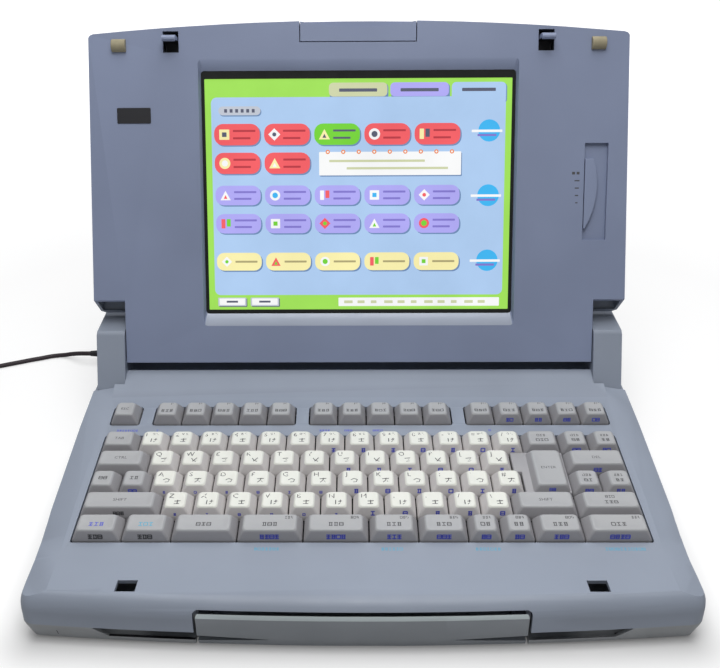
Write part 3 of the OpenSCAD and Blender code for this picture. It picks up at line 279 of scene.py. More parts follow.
# Plastics: screen colour, roughness, grain in millimetres, change of shade, wear along edges
PLASTICS = {
    "case_blue": ((141, 149, 163), 0.48, 0.6, 0.05, 0.25),
    "case_grey": ((152, 155, 158), 0.5, 0.6, 0.05, 0.25),
    "lid_blue": ((132, 142, 168), 0.48, 0.6, 0.05, 0.25),
    "handle_grey": ((136, 141, 147), 0.45, 0.6, 0.05, 0.25),
    # Paler copy of the handle's grey for its top edge, as a painted highlight
    "handle_edge_painted_highlight": ((186, 196, 198), 0.35, 0.6, 0.05, 0.25),
    # Paler copy of the lid's blue for the bezel's slope under the panel, as a painted highlight
    "lid_slope_painted_highlight": ((176, 184, 200), 0.35, 0.6, 0.05, 0.25),
    "key_white": ((226, 227, 219), 0.42, 0.35, 0.02, 0.0),
    # Sides of the white caps: a darker copy of their tops' colour, as painted shade
    "key_white_side_painted_shade": ((203, 200, 199), 0.5, 0.5, 0.03, 0.0),
    "key_grey": ((171, 172, 174), 0.42, 0.35, 0.02, 0.0),
    # Sides of the grey caps, darker still on the two back rows: darker copies of the grey tops, as
    # painted shade
    "key_grey_side_painted_shade": ((158, 157, 160), 0.5, 0.5, 0.03, 0.0),
    "key_dark_side_painted_shade": ((152, 151, 154), 0.5, 0.5, 0.03, 0.0),
    "black_plastic": ((38, 38, 42), 0.55, 0.6, 0.05, 0.15),
    "ink_dark": ((78, 78, 80), 0.6, 0.6, 0.05, 0.0),
    "ink_blue": ((84, 92, 200), 0.6, 0.6, 0.05, 0.0),
    "ink_teal": ((90, 170, 200), 0.6, 0.6, 0.05, 0.0),
}
# Rubbers: screen colour, roughness and grain in millimetres
RUBBERS = {
    "gasket": ((24, 26, 24), 0.75, 0.5),
    "foot_rubber": ((40, 40, 40), 0.75, 0.5),
    "bumper_rubber": ((150, 142, 118), 0.75, 0.5),
    "platen_rubber": ((52, 52, 54), 0.7, 0.3),
    "cord_brown": ((56, 48, 52), 0.55, 0.6),
}
# Metals: screen colour and roughness
METALS = {
    "steel": ((190, 192, 196), 0.35),
    "bright_steel": ((220, 220, 224), 0.22),
}
# Circuit boards: screen colours of the lacquer and of the tracks
BOARDS = {
    "board_green": ((28, 92, 58), (70, 130, 84)),
    "board_tan": ((160, 128, 82), (120, 92, 58)),
}
# Colours of the lit panel
SCREEN_COLOURS = {
    "lime": (163, 228, 92),
    "sky": (176, 206, 242),
    "lavender": (178, 172, 246),
    "beige": (208, 214, 172),
    "coral": (246, 98, 104),
    "green": (120, 214, 60),
    "yellow": (252, 242, 176),
    "white": (250, 251, 252),
    "orange": (240, 140, 84),
    "disc": (66, 184, 244),
    "pill": (196, 202, 214),
    "shadow": (112, 142, 184),
    "dark": (92, 96, 116),
    "violet": (132, 122, 206),
    "rust": (186, 62, 72),
    "olive": (176, 166, 120),
}
MAT = {}


def make_materials():
    for make, table in ((plastic, PLASTICS), (rubber, RUBBERS), (metal, METALS), (board, BOARDS)):
        for name, values in table.items():
            MAT[name] = make(name, *values)
    for name, rgb in SCREEN_COLOURS.items():
        MAT["lit_" + name] = lit("lit_" + name, rgb)


# Mesh helpers
SMOOTH_ANGLE = math.radians(35)


class Build:
    """Collects points and faces, with a material each, for one piece."""

    def __init__(self):
        self.verts = []
        self.faces = []
        self.index = []

    def add(self, verts, faces, material=0):
        at = len(self.verts)
        self.verts.extend(verts)
        self.faces.extend([[i + at for i in f] for f in faces])
        self.index.extend([material] * len(faces))

    def piece(self, name, plane, materials, body):
        """The new piece, from its plane to metres in the row frame, riding on a body."""
        to_row = SCALE_M @ plane
        me = bpy.data.meshes.new(name)
        me.from_pydata([tuple(to_row @ Vector(v)) for v in self.verts], [], self.faces)
        for m in materials:
            me.materials.append(m)
        me.polygons.foreach_set("material_index", self.index)
        bm = bmesh.new()
        bm.from_mesh(me)
        bmesh.ops.recalc_face_normals(bm, faces=bm.faces)
        bm.to_mesh(me)
        bm.free()
        me.shade_smooth()
        me.set_sharp_from_angle(angle=SMOOTH_ANGLE)
        ob = bpy.data.objects.new(name, me)
        scene.collection.objects.link(ob)
        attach(ob, body)
        return ob


def round_ring(x0, x1, v0, v1, r, steps=4):
    """Corner points of a rounded rectangle, anticlockwise from its lower left corner."""
    r = min(r, (x1 - x0) / 2 - 0.01, (v1 - v0) / 2 - 0.01)
    corners = ((x0 + r, v0 + r, 180), (x1 - r, v0 + r, 270),
               (x1 - r, v1 - r, 0), (x0 + r, v1 - r, 90))
    out = []
    for cx, cv, first in corners:
        for i in range(steps + 1):
            a = math.radians(first + 90 * i / steps)
            out.append((cx + r * math.cos(a), cv + r * math.sin(a)))
    return out


def loft(build, rings, bands):
    """Skins closed rings of equal length, with a material for each band between two rings.

    The caps at the two ends take the material of the band beside them.
    """
    m = len(rings[0])
    at = len(build.verts)
    for ring in rings:
        build.verts.extend(ring)
    for i, material in enumerate(bands):
        for k in range(m):
            a = at + i * m + k
            b = at + i * m + (k + 1) % m
            build.faces.append([a, b, b + m, a + m])
            build.index.append(material)
    build.faces.append([at + k for k in range(m - 1, -1, -1)])
    build.index.append(bands[0])
    last = at + (len(rings) - 1) * m
    build.faces.append([last + k for k in range(m)])
    build.index.append(bands[-1])


def ramp(x):
    """A smooth step from 0 to 1."""
    x = min(max(x, 0), 1)
    return x * x * (3 - 2 * x)


# Cord: the run on the table, then the stored coil and its tail, as one curve
CORD_D = 3.6
CORD_POINTS = [
    (-221, 133.5, 8.5), (-224.6, 133.5, 8.5), (-229, 134.6, 7.9), (-234, 137, 6.4),
    (-240, 140.3, 4.1), (-245, 141.7, 2.6), (-250, 142.2, 1.9), (-257, 140.6, 1.8),
    (-264, 137.6, 1.8), (-272, 134.5, 1.8), (-279, 131.4, 1.8), (-287, 128, 1.8),
    (-294, 124.9, 1.8), (-301, 121.9, 1.8), (-308, 119.6, 1.8), (-315, 118.3, 1.8),
    (-321, 118, 1.8), (-325, 118, 1.8), (-329, 118, 1.8),
]
RUN_STEPS = 4
COIL_PITCH = 4.2
COIL_OUT = 27.6
COIL_TURNS = 12
COIL_STEPS = 48
LAYER_TURNS = 3
LAYER_CLIMBS = (2.75, 5.75, 8.75)
COIL_X = -329.0
COIL_Y = 118 - COIL_OUT
FLOOR_R = 1.8
TAIL_TURN = 0.26
TAIL_LEVEL = 0.09
TAIL_SPREAD = 52
TAIL_STEPS = 12
PLUG_Z = 8.0
INTO_PLUG = (4, 9)


def coil_point(t):
    """Middle of the cord after t turns of the coil, then of the tail that drops to the plug."""
    layer = math.floor(t / LAYER_TURNS)
    done = t - layer * LAYER_TURNS
    inward = done if layer % 2 == 0 else LAYER_TURNS - done
    if t <= COIL_TURNS:
        radius = COIL_OUT - COIL_PITCH * inward
    else:
        radius = COIL_OUT + TAIL_SPREAD * (t - COIL_TURNS)
    climbed = sum(ramp((t - climb) * 2) for climb in LAYER_CLIMBS)
    drop = ramp((t - COIL_TURNS - TAIL_LEVEL) / (TAIL_TURN - TAIL_LEVEL))
    fall = len(LAYER_CLIMBS) * COIL_PITCH + FLOOR_R - PLUG_Z
    a = math.radians(90 + 360 * t)
    return Vector((COIL_X + radius * math.cos(a), COIL_Y + radius * math.sin(a),
                   FLOOR_R + COIL_PITCH * climbed - fall * drop))


def catmull(points, steps):
    """Points along a smooth curve through the given ones."""
    out = []
    n = len(points)
    for i in range(n - 1):
        a = points[max(i - 1, 0)]
        b = points[i]
        c = points[i + 1]
        d = points[min(i + 2, n - 1)]
        for j in range(steps):
            t = j / steps
            out.append(0.5 * ((2 * b) + (c - a) * t + (2 * a - 5 * b + 4 * c - d) * t * t
                              + (3 * b - a - 3 * c + d) * t * t * t))
    out.append(points[-1])
    return out


def make_cord():
    """The mains cord as one curve of its real length, which ends inside the plug."""
    run = catmull([Vector(p) for p in CORD_POINTS], RUN_STEPS)
    coil = [coil_point(i / COIL_STEPS) for i in range(1, COIL_TURNS * COIL_STEPS + 1)]
    tail = [coil_point(COIL_TURNS + i * TAIL_TURN / TAIL_STEPS) for i in range(1, TAIL_STEPS + 1)]
    end = tail[-1]
    before = coil_point(COIL_TURNS + TAIL_TURN - 0.5 / TAIL_STEPS)
    way = Vector((end.x - before.x, end.y - before.y, 0)).normalized()
    path = run + coil + tail + [end + way * far for far in INTO_PLUG]
    curve = bpy.data.curves.new("mains_cord", "CURVE")
    curve.dimensions = "3D"
    curve.bevel_depth = CORD_D / 2 * MM
    curve.bevel_resolution = 4
    curve.use_fill_caps = True
    spline = curve.splines.new("POLY")
    spline.points.add(len(path) - 1)
    for p, q in zip(spline.points, path):
        p.co = (q.x * MM, q.y * MM, q.z * MM, 1)
    spline.use_smooth = True
    curve.materials.append(MAT["cord_brown"])
    ob = bpy.data.objects.new("mains_cord", curve)
    scene.collection.objects.link(ob)
    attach(ob, "base")
    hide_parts("cord", "cord_coil")


# Keys: where each row starts up the slope, and the widths of its keys in key pitches
ROW_V = [106.8, 76.0, 57.0, 38.0, 19.0, 0.0]
ROW_KEYS = [
    [1] + [1] * 15,
    [1.25] + [1] * 13 + [1.25, 1, 1],
    [1.75] + [1] * 12 + [2],
    [1, 1] + [1] * 12 + [1, 1],
    [2.5] + [1] * 11 + [2, 2],
    [1.5, 1.5, 2, 2, 2, 1.5, 1.5, 1, 1, 1.5, 2],
]
# Spaces between keys: row, the key after it, and its width in key pitches
ROW_SPACES = [(0, 1, 0.5), (0, 6, 0.5), (0, 11, 0.5), (2, 13, 1.75), (3, 14, 1.5)]
KEYS_ACROSS = 17.5
# Runs of keys that share a body: row, first key and last key
KEY_RUNS = {
    "key_escape": (0, 0, 0),
    "keys_function_left": (0, 1, 5),
    "keys_function_middle": (0, 6, 10),
    "keys_function_right": (0, 11, 15),
    "key_tab": (1, 0, 0),
    "keys_number_row": (1, 1, 13),
    "keys_number_right": (1, 14, 16),
    "key_caps": (2, 0, 0),
    "keys_upper_row": (2, 1, 12),
    "key_delete": (2, 13, 13),
    "keys_home_left": (3, 0, 1),
    "keys_home_row": (3, 2, 13),
    "keys_home_right": (3, 14, 15),
    "key_shift_left": (4, 0, 0),
    "keys_lower_row": (4, 1, 11),
    "keys_lower_right": (4, 12, 13),
    "keys_bottom_left": (5, 0, 1),
    "keys_bottom_middle": (5, 2, 6),
    "keys_bottom_right": (5, 7, 10),
}
FUNCTION_ROW = 0
NUMBER_ROW = 1
UPPER_ROW = 2
BOTTOM_ROW = 5

# Material of a face of a cap, or of its print
TOP = 0
# Sides of a cap take a darker copy of its top's colour, as painted shade
SIDE = 1
DARK = 2
BLUE = 3
TEAL = 4

# Cap: lean from foot (0) to top (1), inset, height, corner radius and material of each ring
CAP_RINGS = [
    (0, 0.25, -KEY_SKIRT, 1.0, SIDE),
    (0, 0, -KEY_SKIRT + 0.25, 1.1, SIDE),
    (0, 0, 0.2, 1.2, SIDE),
    (0.06, 0, 0.9, 1.3, SIDE),
    (0.35, 0, 3.1, 1.5, SIDE),
    (0.68, 0, 5.5, 1.8, SIDE),
    (0.9, 0, 6.95, 2.0, SIDE),
    (0.985, 0.12, 7.5, 2.1, TOP),
    (1.0, 0.35, 7.82, 2.1, TOP),
]
DISH_INSETS = (0.8, 1.4, 2.2, 3.2, 4.4)
DISH_START = 0.5
DISH_RUN = 4.5
DISH_LEAST = 0.6
DISH_RADIUS = 2.0
STEM_SIDES = 16
STEM_TOP = -KEY_SKIRT + 0.5
LEAN_START = 0.4


def key_x(r, k):
    """Left edge of the cell of a key."""
    spaces = sum(s[2] for s in ROW_SPACES if s[0] == r and s[1] <= k)
    return (sum(ROW_KEYS[r][:k]) + spaces - KEYS_ACROSS / 2) * PITCH


def top_rect(x, v, w, h):
    """Edges of the top of a cap over a cell: left, right, front and rear."""
    g = KEY_GAP / 2
    return (x + g + LEAN_SIDE, x + w - g - LEAN_SIDE, v + g + LEAN_FRONT, v + h - g - LEAN_BACK)


def dished(inset):
    """Height of a cap's top at a distance from its nearest edge."""
    return KEY_H - KEY_DISH * ramp((inset - DISH_START) / DISH_RUN)


def top_surface(rect):
    """A function of x and v that gives the height of a cap's dished top."""
    x0, x1, v0, v1 = rect
    return lambda x, v: dished(min(x - x0, x1 - x, v - v0, v1 - v))


def key_cap(build, x, v, w, h):
    """A cap over a cell: skirt, leaning sides, rounded rim, dished top, and its stem."""
    g = KEY_GAP / 2
    foot = (x + g, x + w - g, v + g, v + h - g)
    top = top_rect(x, v, w, h)
    rings = []
    bands = []
    for lean, inset, n, r, material in CAP_RINGS:
        x0, x1, v0, v1 = [low + (high - low) * lean for low, high in zip(foot, top)]
        corner = round_ring(x0 + inset, x1 - inset, v0 + inset, v1 - inset, r)
        rings.append([(px, pv, n) for px, pv in corner])
        bands.append(material)
    for inset in DISH_INSETS:
        x0, x1, v0, v1 = top[0] + inset, top[1] - inset, top[2] + inset, top[3] - inset
        if x1 - x0 < DISH_LEAST or v1 - v0 < DISH_LEAST:
            break
        corner = round_ring(x0, x1, v0, v1, max(DISH_RADIUS - inset * 0.2, 0.3))
        rings.append([(px, pv, dished(inset)) for px, pv in corner])
        bands.append(TOP)
    loft(build, rings, bands[1:])
    turns = [2 * math.pi * i / STEM_SIDES for i in range(STEM_SIDES)]
    stem = [[(x + w / 2 + STEM_R * math.cos(a), v + h / 2 + STEM_R * math.sin(a), n) for a in turns]
            for n in (STEM_TOP, STEM_END)]
    loft(build, stem, [SIDE])


# Print: strokes, small marks, words of plain strokes, and letters of the built-in face
PRINT_LIFT = 0.03
CAPITAL_H = 0.7
SMALL_MARKS = [
    [[(-0.9, 0.7), (0.9, 0.7)], [(0.1, 1.0), (0.0, 0.1), (-0.7, -0.8)], [(0.2, 0.0), (0.9, -0.8)]],
    [[(-0.8, 0.6), (0.7, 0.7), (0.1, 0.0), (0.7, -0.5), (-0.4, -0.8)]],
    [[(-0.7, 0.9), (-0.7, -0.8)], [(0.0, 0.4), (0.9, 0.4)], [(0.5, 0.9), (0.5, -0.2), (0.0, -0.8)]],
    [[(-0.9, 0.3), (-0.1, 0.8), (0.8, 0.3), (0.5, -0.6), (-0.3, -0.7)]],
    [[(-0.8, 0.8), (-0.3, -0.2), (0.6, -0.8)], [(0.7, 0.8), (-0.4, -0.7)]],
    [[(-0.8, 0.5), (0.8, 0.5)], [(-0.8, -0.6), (0.8, -0.6)], [(0.0, 0.9), (0.0, -0.6)]],
]
WORD_STEP = 0.95
WORD_DENSE = 0.72
WORD_LINE = 0.16
LEVEL_REACH = 0.8
UPRIGHT_REACH = 0.85
THREE_LEVELS = 0.6
UPRIGHTS = [(-1, 1), (0,), (-0.5, 0.6)]
FRONT_DENSE = 0.84
FRONT_LINE = 0.24
FRONT_PROUD = 0.09
glyphs = {}


def stroke(build, points, width, height_at, material):
    """A printed line through points in the plane, laid on a surface of given height."""
    n = len(points)
    verts = []
    for i in range(n):
        along = (Vector(points[min(i + 1, n - 1)]) - Vector(points[max(i - 1, 0)])).normalized()
        side = Vector((-along.y, along.x)) * width / 2
        p = Vector(points[i])
        for q in (p + side, p - side):
            verts.append((q.x, q.y, height_at(q.x, q.y) + PRINT_LIFT))
    build.add(verts, [[2 * i, 2 * i + 1, 2 * i + 3, 2 * i + 2] for i in range(n - 1)], material)


def small_mark(build, kind, x, v, size, width, height_at):
    """One of the small marks in dark ink, centred on a point."""
    for line in SMALL_MARKS[kind % len(SMALL_MARKS)]:
        points = [(x + p[0] * size, v + p[1] * size) for p in line]
        stroke(build, points, width, height_at, DARK)


def stroke_word(build, x, v, size, height_at, material, rng, dense=WORD_DENSE, weight=WORD_LINE):
    """Blocks of plain short strokes in place of a printed word, centred on a point."""
    width, height = size
    step = height * WORD_STEP
    count = max(1, int(width / step))
    half = step * dense / 2
    tall = height / 2
    line = height * weight
    for i in range(count):
        cx = x - (count - 1) * step / 2 + i * step
        for f in (-1, 0, 1) if rng.random() < THREE_LEVELS else (-1, 1):
            level = v + f * tall * LEVEL_REACH
            stroke(build, [(cx - half, level), (cx + half, level)], line, height_at, material)
        for f in rng.choice(UPRIGHTS):
            px = cx + f * half
            ends = [(px, v - tall * UPRIGHT_REACH), (px, v + tall * UPRIGHT_REACH)]
            stroke(build, ends, line, height_at, material)


def front_word(build, x, v0, word, material, rng):
    """A word of plain strokes on the front face of a cap over a cell that starts at v0."""
    width, height, middle = word
    flat = Build()
    stroke_word(flat, x, 0.0, (width, height), lambda px, pv: 0.0, material, rng, FRONT_DENSE,
                FRONT_LINE)
    verts = []
    for px, pv, _ in flat.verts:
        n = middle + pv
        lean = (n - LEAN_START) / (KEY_H - LEAN_START)
        verts.append((px, v0 + KEY_GAP / 2 + LEAN_FRONT * lean - FRONT_PROUD, n))
    build.add(verts, flat.faces, material)


def glyph(text):
    """Outline of a word in the built-in plain face, one unit high, as points and faces."""
    if text not in glyphs:
        data = bpy.data.curves.new("glyph", "FONT")
        data.body = text
        data.resolution_u = 2
        ob = bpy.data.objects.new("glyph", data)
        scene.collection.objects.link(ob)
        graph = bpy.context.evaluated_depsgraph_get()
        me = bpy.data.meshes.new_from_object(ob.evaluated_get(graph))
        points = [(v.co.x, v.co.y) for v in me.vertices]
        faces = [list(p.vertices) for p in me.polygons]
        bpy.data.objects.remove(ob)
        bpy.data.curves.remove(data)
        bpy.data.meshes.remove(me)
        glyphs[text] = (points, faces)
    return glyphs[text]


def put_text(build, text, x, v, size, height_at, centred=False):
    """Dark letters whose capitals are size high, from a point or centred on it."""
    points, faces = glyph(text)
    k = size / CAPITAL_H
    low = min(p[0] for p in points)
    high = max(p[0] for p in points)
    shift = -(low + high) / 2 if centred else -low
    placed = []
    for p in points:
        px = x + (p[0] + shift) * k
        pv = v + p[1] * k
        placed.append((px, pv, height_at(px, pv) + PRINT_LIFT))
    build.add(placed, faces, DARK)


# Legends: letters of the white runs, and words of some grey keys by row and key
WHITE_LEGENDS = {
    "keys_number_row": list("1234567890-=/"),
    "keys_upper_row": list("QWERTYUIOP[]"),
    "keys_home_row": list("ASDFGHJKL;'#"),
    "keys_lower_row": list("ZXCVBNM,./\\"),
}
GREY_WORDS = {
    (0, 0): "ESC",
    (1, 0): "TAB",
    (2, 0): "CTRL",
    (2, 13): "DEL",
    (4, 0): "SHIFT",
    (4, 12): "SHIFT",
}
# Grey keys with a blue word on the front, apart from the function and bottom rows
BLUE_FRONTS = ((1, 15), (1, 16), (2, 13), (3, 1), (3, 14), (3, 15))
LEFT_SHIFT = (4, 0)
# First key of a row that has the longer legends: white rows count from their own first key
WHITE_FRONT_FROM = 6
FUNCTION_FRONT_FROM = 12
TWO_WORDS_FROM = 13
BOTTOM_CORNER_FROM = 3
BARE_BOTTOM_KEY = 2

# Print on the top of a cap, in millimetres: how far in from its edges, and how large
LETTER_IN = (1.5, 5.2)
LETTER_H = 3.4
MARK_IN = (4.6, 4.0)
MARK_SIZE = 2.3
MARK_LINE = 0.55
NUMBER_MARKS = ((2, 6.2), (3, 8.6))
NUMBER_MARK_IN = 2.8
NUMBER_MARK_SIZE = 0.9
NUMBER_MARK_LINE = 0.3
CORNER_IN = (3.2, 2.6)
CORNER_H = 1.7
GREY_WORD_H = 2.3
FUNCTION_WORD_IN = 4.2
BOTTOM_WORD_IN = 5.2
BOTTOM_CORNER_IN = (4.5, 2.6)
UPPER_WORD_SHIFT = 2.4

# Words of strokes on a cap, in millimetres: width and height
FUNCTION_WORD = (8.4, 2.9)
GREY_WORD = (8.4, 2.9)
UPPER_WORD = (6.6, 2.0)
BOTTOM_WORD = (12, 3.2)
BOTTOM_CORNER_WORD = (5.6, 1.8)
# Words of strokes on the front of a cap: width, height and middle above the deck
WHITE_FRONT = (3.0, 3.0, 3.4)
SMALL_WHITE_FRONT = (2.4, 1.8, 2.6)
FUNCTION_FRONT = (6.0, 2.6, 3.4)
GREY_FRONT = (6.0, 2.8, 3.4)
SHIFT_FRONT = (8.0, 2.4, 3.4)
BOTTOM_FRONT = (12, 3.0, 3.4)
ENTER_FRONT = (5.0, 2.2, 4.4)


def narrowed(word, width):
    """A word that is at most that wide."""
    return (min(width, word[0]),) + word[1:]


def white_legend(build, r, k, place, text, rect, v, rng):
    """A letter, small marks and a front word, on the key at a place in its white run."""
    x0, x1, v0, v1 = rect
    at = top_surface(rect)
    mid = (x0 + x1) / 2
    put_text(build, text, x0 + LETTER_IN[0], v1 - LETTER_IN[1], LETTER_H, at)
    kind = r * 5 + k * 3
    small_mark(build, kind, x1 - MARK_IN[0], v0 + MARK_IN[1], MARK_SIZE, MARK_LINE, at)
    if r == NUMBER_ROW:
        for more, inset in NUMBER_MARKS:
            small_mark(build, k + more, x0 + inset, v1 - NUMBER_MARK_IN, NUMBER_MARK_SIZE,
                       NUMBER_MARK_LINE, at)
    if place >= WHITE_FRONT_FROM:
        front_word(build, mid + 2.4, v, WHITE_FRONT, BLUE, rng)
    elif r > UPPER_ROW:
        front_word(build, mid, v, SMALL_WHITE_FRONT, BLUE, rng)


def bottom_legend(build, k, rect, v, w, rng):
    """Words of a key of the bottom row, whose first two keys have blue and teal print."""
    x0, x1, v0, v1 = rect
    at = top_surface(rect)
    mid = (x0 + x1) / 2
    ink = (BLUE, TEAL)[k] if k < 2 else DARK
    stroke_word(build, mid, v0 + BOTTOM_WORD_IN, narrowed(BOTTOM_WORD, w * 0.42), at, ink, rng)
    if k >= BOTTOM_CORNER_FROM:
        stroke_word(build, x1 - BOTTOM_CORNER_IN[0], v1 - BOTTOM_CORNER_IN[1],
                    BOTTOM_CORNER_WORD, at, DARK, rng)
    if k != BARE_BOTTOM_KEY:
        ink = BLUE if k >= BOTTOM_CORNER_FROM else DARK
        front_word(build, mid, v, narrowed(BOTTOM_FRONT, w * 0.34), ink, rng)


def grey_legend(build, r, k, rect, v, w, rng):
    """One or two words on the top of a grey key, and one on the front of most."""
    x0, x1, v0, v1 = rect
    at = top_surface(rect)
    mid = (x0 + x1) / 2
    mid_v = (v0 + v1) / 2
    if r == FUNCTION_ROW and k > 0:
        put_text(build, "F" + str(k), x1 - CORNER_IN[0], v1 - CORNER_IN[1], CORNER_H, at, True)
        stroke_word(build, mid, v0 + FUNCTION_WORD_IN, FUNCTION_WORD, at, DARK, rng)
        if k >= FUNCTION_FRONT_FROM:
            front_word(build, mid, v, FUNCTION_FRONT, BLUE, rng)
    elif (r, k) in GREY_WORDS:
        put_text(build, GREY_WORDS[(r, k)], mid, mid_v - 1.0, GREY_WORD_H, at, True)
    elif r == BOTTOM_ROW:
        bottom_legend(build, k, rect, v, w, rng)
    else:
        word = narrowed(GREY_WORD, w * 0.4)
        two = k >= TWO_WORDS_FROM
        low = UPPER_WORD_SHIFT if two else 0.0
        stroke_word(build, mid, mid_v - low + 0.2, word, at, DARK, rng)
        if two:
            stroke_word(build, mid, mid_v + UPPER_WORD_SHIFT, UPPER_WORD, at, DARK, rng)
    if (r, k) in BLUE_FRONTS:
        front_word(build, mid, v, GREY_FRONT, BLUE, rng)
    if (r, k) == LEFT_SHIFT:
        front_word(build, mid, v, SHIFT_FRONT, DARK, rng)


def make_keys():
    """A piece of caps and a piece of print for each run of keys."""
    rng = random.Random(11)
    inks = [MAT["ink_dark"], MAT["ink_blue"], MAT["ink_teal"]]
    for name, (r, first, last) in KEY_RUNS.items():
        white = name in WHITE_LEGENDS
        # Caps get their top's colour and a darker copy for the sides, as painted shade
        if white:
            cap = [MAT["key_white"], MAT["key_white_side_painted_shade"]]
        else:
            cap = [MAT["key_grey"], MAT["key_dark_side_painted_shade" if r <= NUMBER_ROW else "key_grey_side_painted_shade"]]
        build = Build()
        marks = Build()
        v = ROW_V[r]
        for k in range(first, last + 1):
            x = key_x(r, k)
            w = ROW_KEYS[r][k] * PITCH
            rect = top_rect(x, v, w, PITCH)
            key_cap(build, x, v, w, PITCH)
            if white:
                white_legend(marks, r, k, k - first, WHITE_LEGENDS[name][k - first], rect, v, rng)
            else:
                grey_legend(marks, r, k, rect, v, w, rng)
        ob = build.piece(name.replace("key", "caps", 1), KEY_M, cap, name + "_body")
        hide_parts(name)
        prints = marks.piece(name.replace("key", "print", 1), KEY_M, cap + inks, name + "_body")
    make_enter(inks, rng)


# Enter key, in key pitches: its left edge, its width, the step of its flange and its raised cap
ENTER_X = 13.75
ENTER_W = 1.75
ENTER_STEP = 0.25
ENTER_CAP_W = 1.3
ENTER_ROW = 2
ENTER_WORD_H = 2.2
# Flange: inset and height of each ring
FLANGE_RINGS = ((0.2, -KEY_SKIRT), (0, -KEY_SKIRT + 0.3), (0, 1.9), (0.2, 2.25), (0.5, 2.4))


def make_enter(inks, rng):
    """The tall cap two rows deep on its stepped flange."""
    g = KEY_GAP / 2
    left = (ENTER_X - KEYS_ACROSS / 2) * PITCH
    right = left + ENTER_W * PITCH
    step = ENTER_STEP * PITCH
    front = ENTER_ROW * PITCH
    v0 = front + g
    v1 = (ENTER_ROW + 2) * PITCH - g
    step_v = (ENTER_ROW + 1) * PITCH + g
    # Corners of the flange, each with the directions that lead into it
    corners = [(left + step + g, v0, 1, 1), (right - g, v0, -1, 1), (right - g, v1, -1, -1),
               (left + g, v1, 1, -1), (left + g, step_v, 1, 1), (left + step + g, step_v, 1, 1)]
    rings = []
    for inset, n in FLANGE_RINGS:
        rings.append([(px + sx * inset, pv + sv * inset, n) for px, pv, sx, sv in corners])
    build = Build()
    loft(build, rings, [SIDE] * (len(rings) - 1))
    cap_w = ENTER_CAP_W * PITCH
    key_cap(build, right - cap_w, front, cap_w, 2 * PITCH)
    # Top's colour and a darker copy for the sides, as painted shade
    cap = [MAT["key_grey"], MAT["key_grey_side_painted_shade"]]
    ob = build.piece("caps_enter", KEY_M, cap, "key_enter_body")
    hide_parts("key_enter")
    rect = top_rect(right - cap_w, front, cap_w, 2 * PITCH)
    mid = (rect[0] + rect[1]) / 2
    marks = Build()
    mid_v = (rect[2] + rect[3]) / 2
    put_text(marks, "ENTER", mid, mid_v - 1, ENTER_WORD_H, top_surface(rect), True)
    front_word(marks, mid, front, ENTER_FRONT, BLUE, rng)
    prints = marks.piece("print_enter", KEY_M, cap + inks, "key_enter_body")


# CAD nodes that keep their shape, by material: how far their edges are rounded, in millimetres
DRESS = {
    "case_grey": {"lower_case": 0.6},
    "case_blue": {"upper_case": 0.6, "hinge_cover_left": 0.8, "hinge_cover_right": 0.8,
                  "printer_cover": 0.5, "lid_back": 0.8},
    "lid_blue": {"lid_bezel": 0.8, "release_latch": 0.6, "contrast_slider": 0.5},
    "handle_grey": {"carry_handle": 0.7},
    "key_grey": {"eject_button": 0.4},
    "black_plastic": {"print_carriage": 0, "ribbon_cassette": 0, "floppy_drive": 0,
                      "key_guide_plate": 0, "power_inlet": 0, "switch_housing": 0,
                      # the hooks' black stands for the shade under their tips, as painted shade
                      "power_switch": 0.3, "lcd_panel": 0, "hook_left": 0.2, "hook_right": 0.2,
                      "badge_plate": 0.1, "cord_connector": 0.4, "cord_plug": 0.5},
    "steel": {"printer_chassis": 0, "case_screws": 0, "latch_bar": 0, "hinge_left": 0,
              "hinge_right": 0},
    "bright_steel": {"carriage_rod": 0},
    "platen_rubber": {"platen": 0},
    "foot_rubber": {"rubber_feet": 0.4},
    "bumper_rubber": {"lid_bumpers": 0.5},
    "gasket": {"lcd_gasket": 0},
    "board_green": {"main_board": 0, "inverter_board": 0},
    "board_tan": {"power_supply": 0},
}
WELD_M = 0.00002
FLAT_ANGLE = math.radians(0.6)
BEVEL_ANGLE = math.radians(32)
BEVEL_SEGMENTS = 3

# Where faces of these nodes take a second material, in metres
SLIT_X = (0.088, 0.15)
SLIT_Z = (0.0055, 0.0135)
SLIT_Y = -0.165
SLIT_BACK_Y = -0.1755
HANDLE_Y = -0.17
SLOPE_X = 0.12
SLOPE_Z = 0.16
HOOK_TIP_MM = -15.5


def dress(name, material, bevel):
    """Gives a CAD node its material, and rounds its edges with modifiers."""
    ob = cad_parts[name]
    ob.data.materials.clear()
    ob.data.materials.append(MAT[material])
    if bevel:
        weld = ob.modifiers.new("weld", "WELD")
        weld.merge_threshold = WELD_M
        flat = ob.modifiers.new("flat", "DECIMATE")
        flat.decimate_type = "DISSOLVE"
        flat.angle_limit = FLAT_ANGLE
        rounding = ob.modifiers.new("bevel", "BEVEL")
        rounding.width = bevel * MM
        rounding.segments = BEVEL_SEGMENTS
        rounding.limit_method = "ANGLE"
        rounding.angle_limit = BEVEL_ANGLE
        ob.modifiers.new("normals", "WEIGHTED_NORMAL")


def in_slit(normal, centre):
    """Floor and rear wall of the finger slits beside the handle, painted black as shade."""
    if not (SLIT_X[0] < abs(centre.x) < SLIT_X[1] and SLIT_Z[0] < centre.z < SLIT_Z[1]):
        return False
    back = normal.y < -0.8 and centre.y > SLIT_BACK_Y
    return centre.y < SLIT_Y and (normal.z > 0.8 or back)


def on_handle_edge(normal, centre):
    """Sloping top edge of the handle's bar, which takes a paler plastic as a painted highlight."""
    return 0.15 < normal.z < 0.93 and normal.y < -0.2 and centre.y < HANDLE_Y


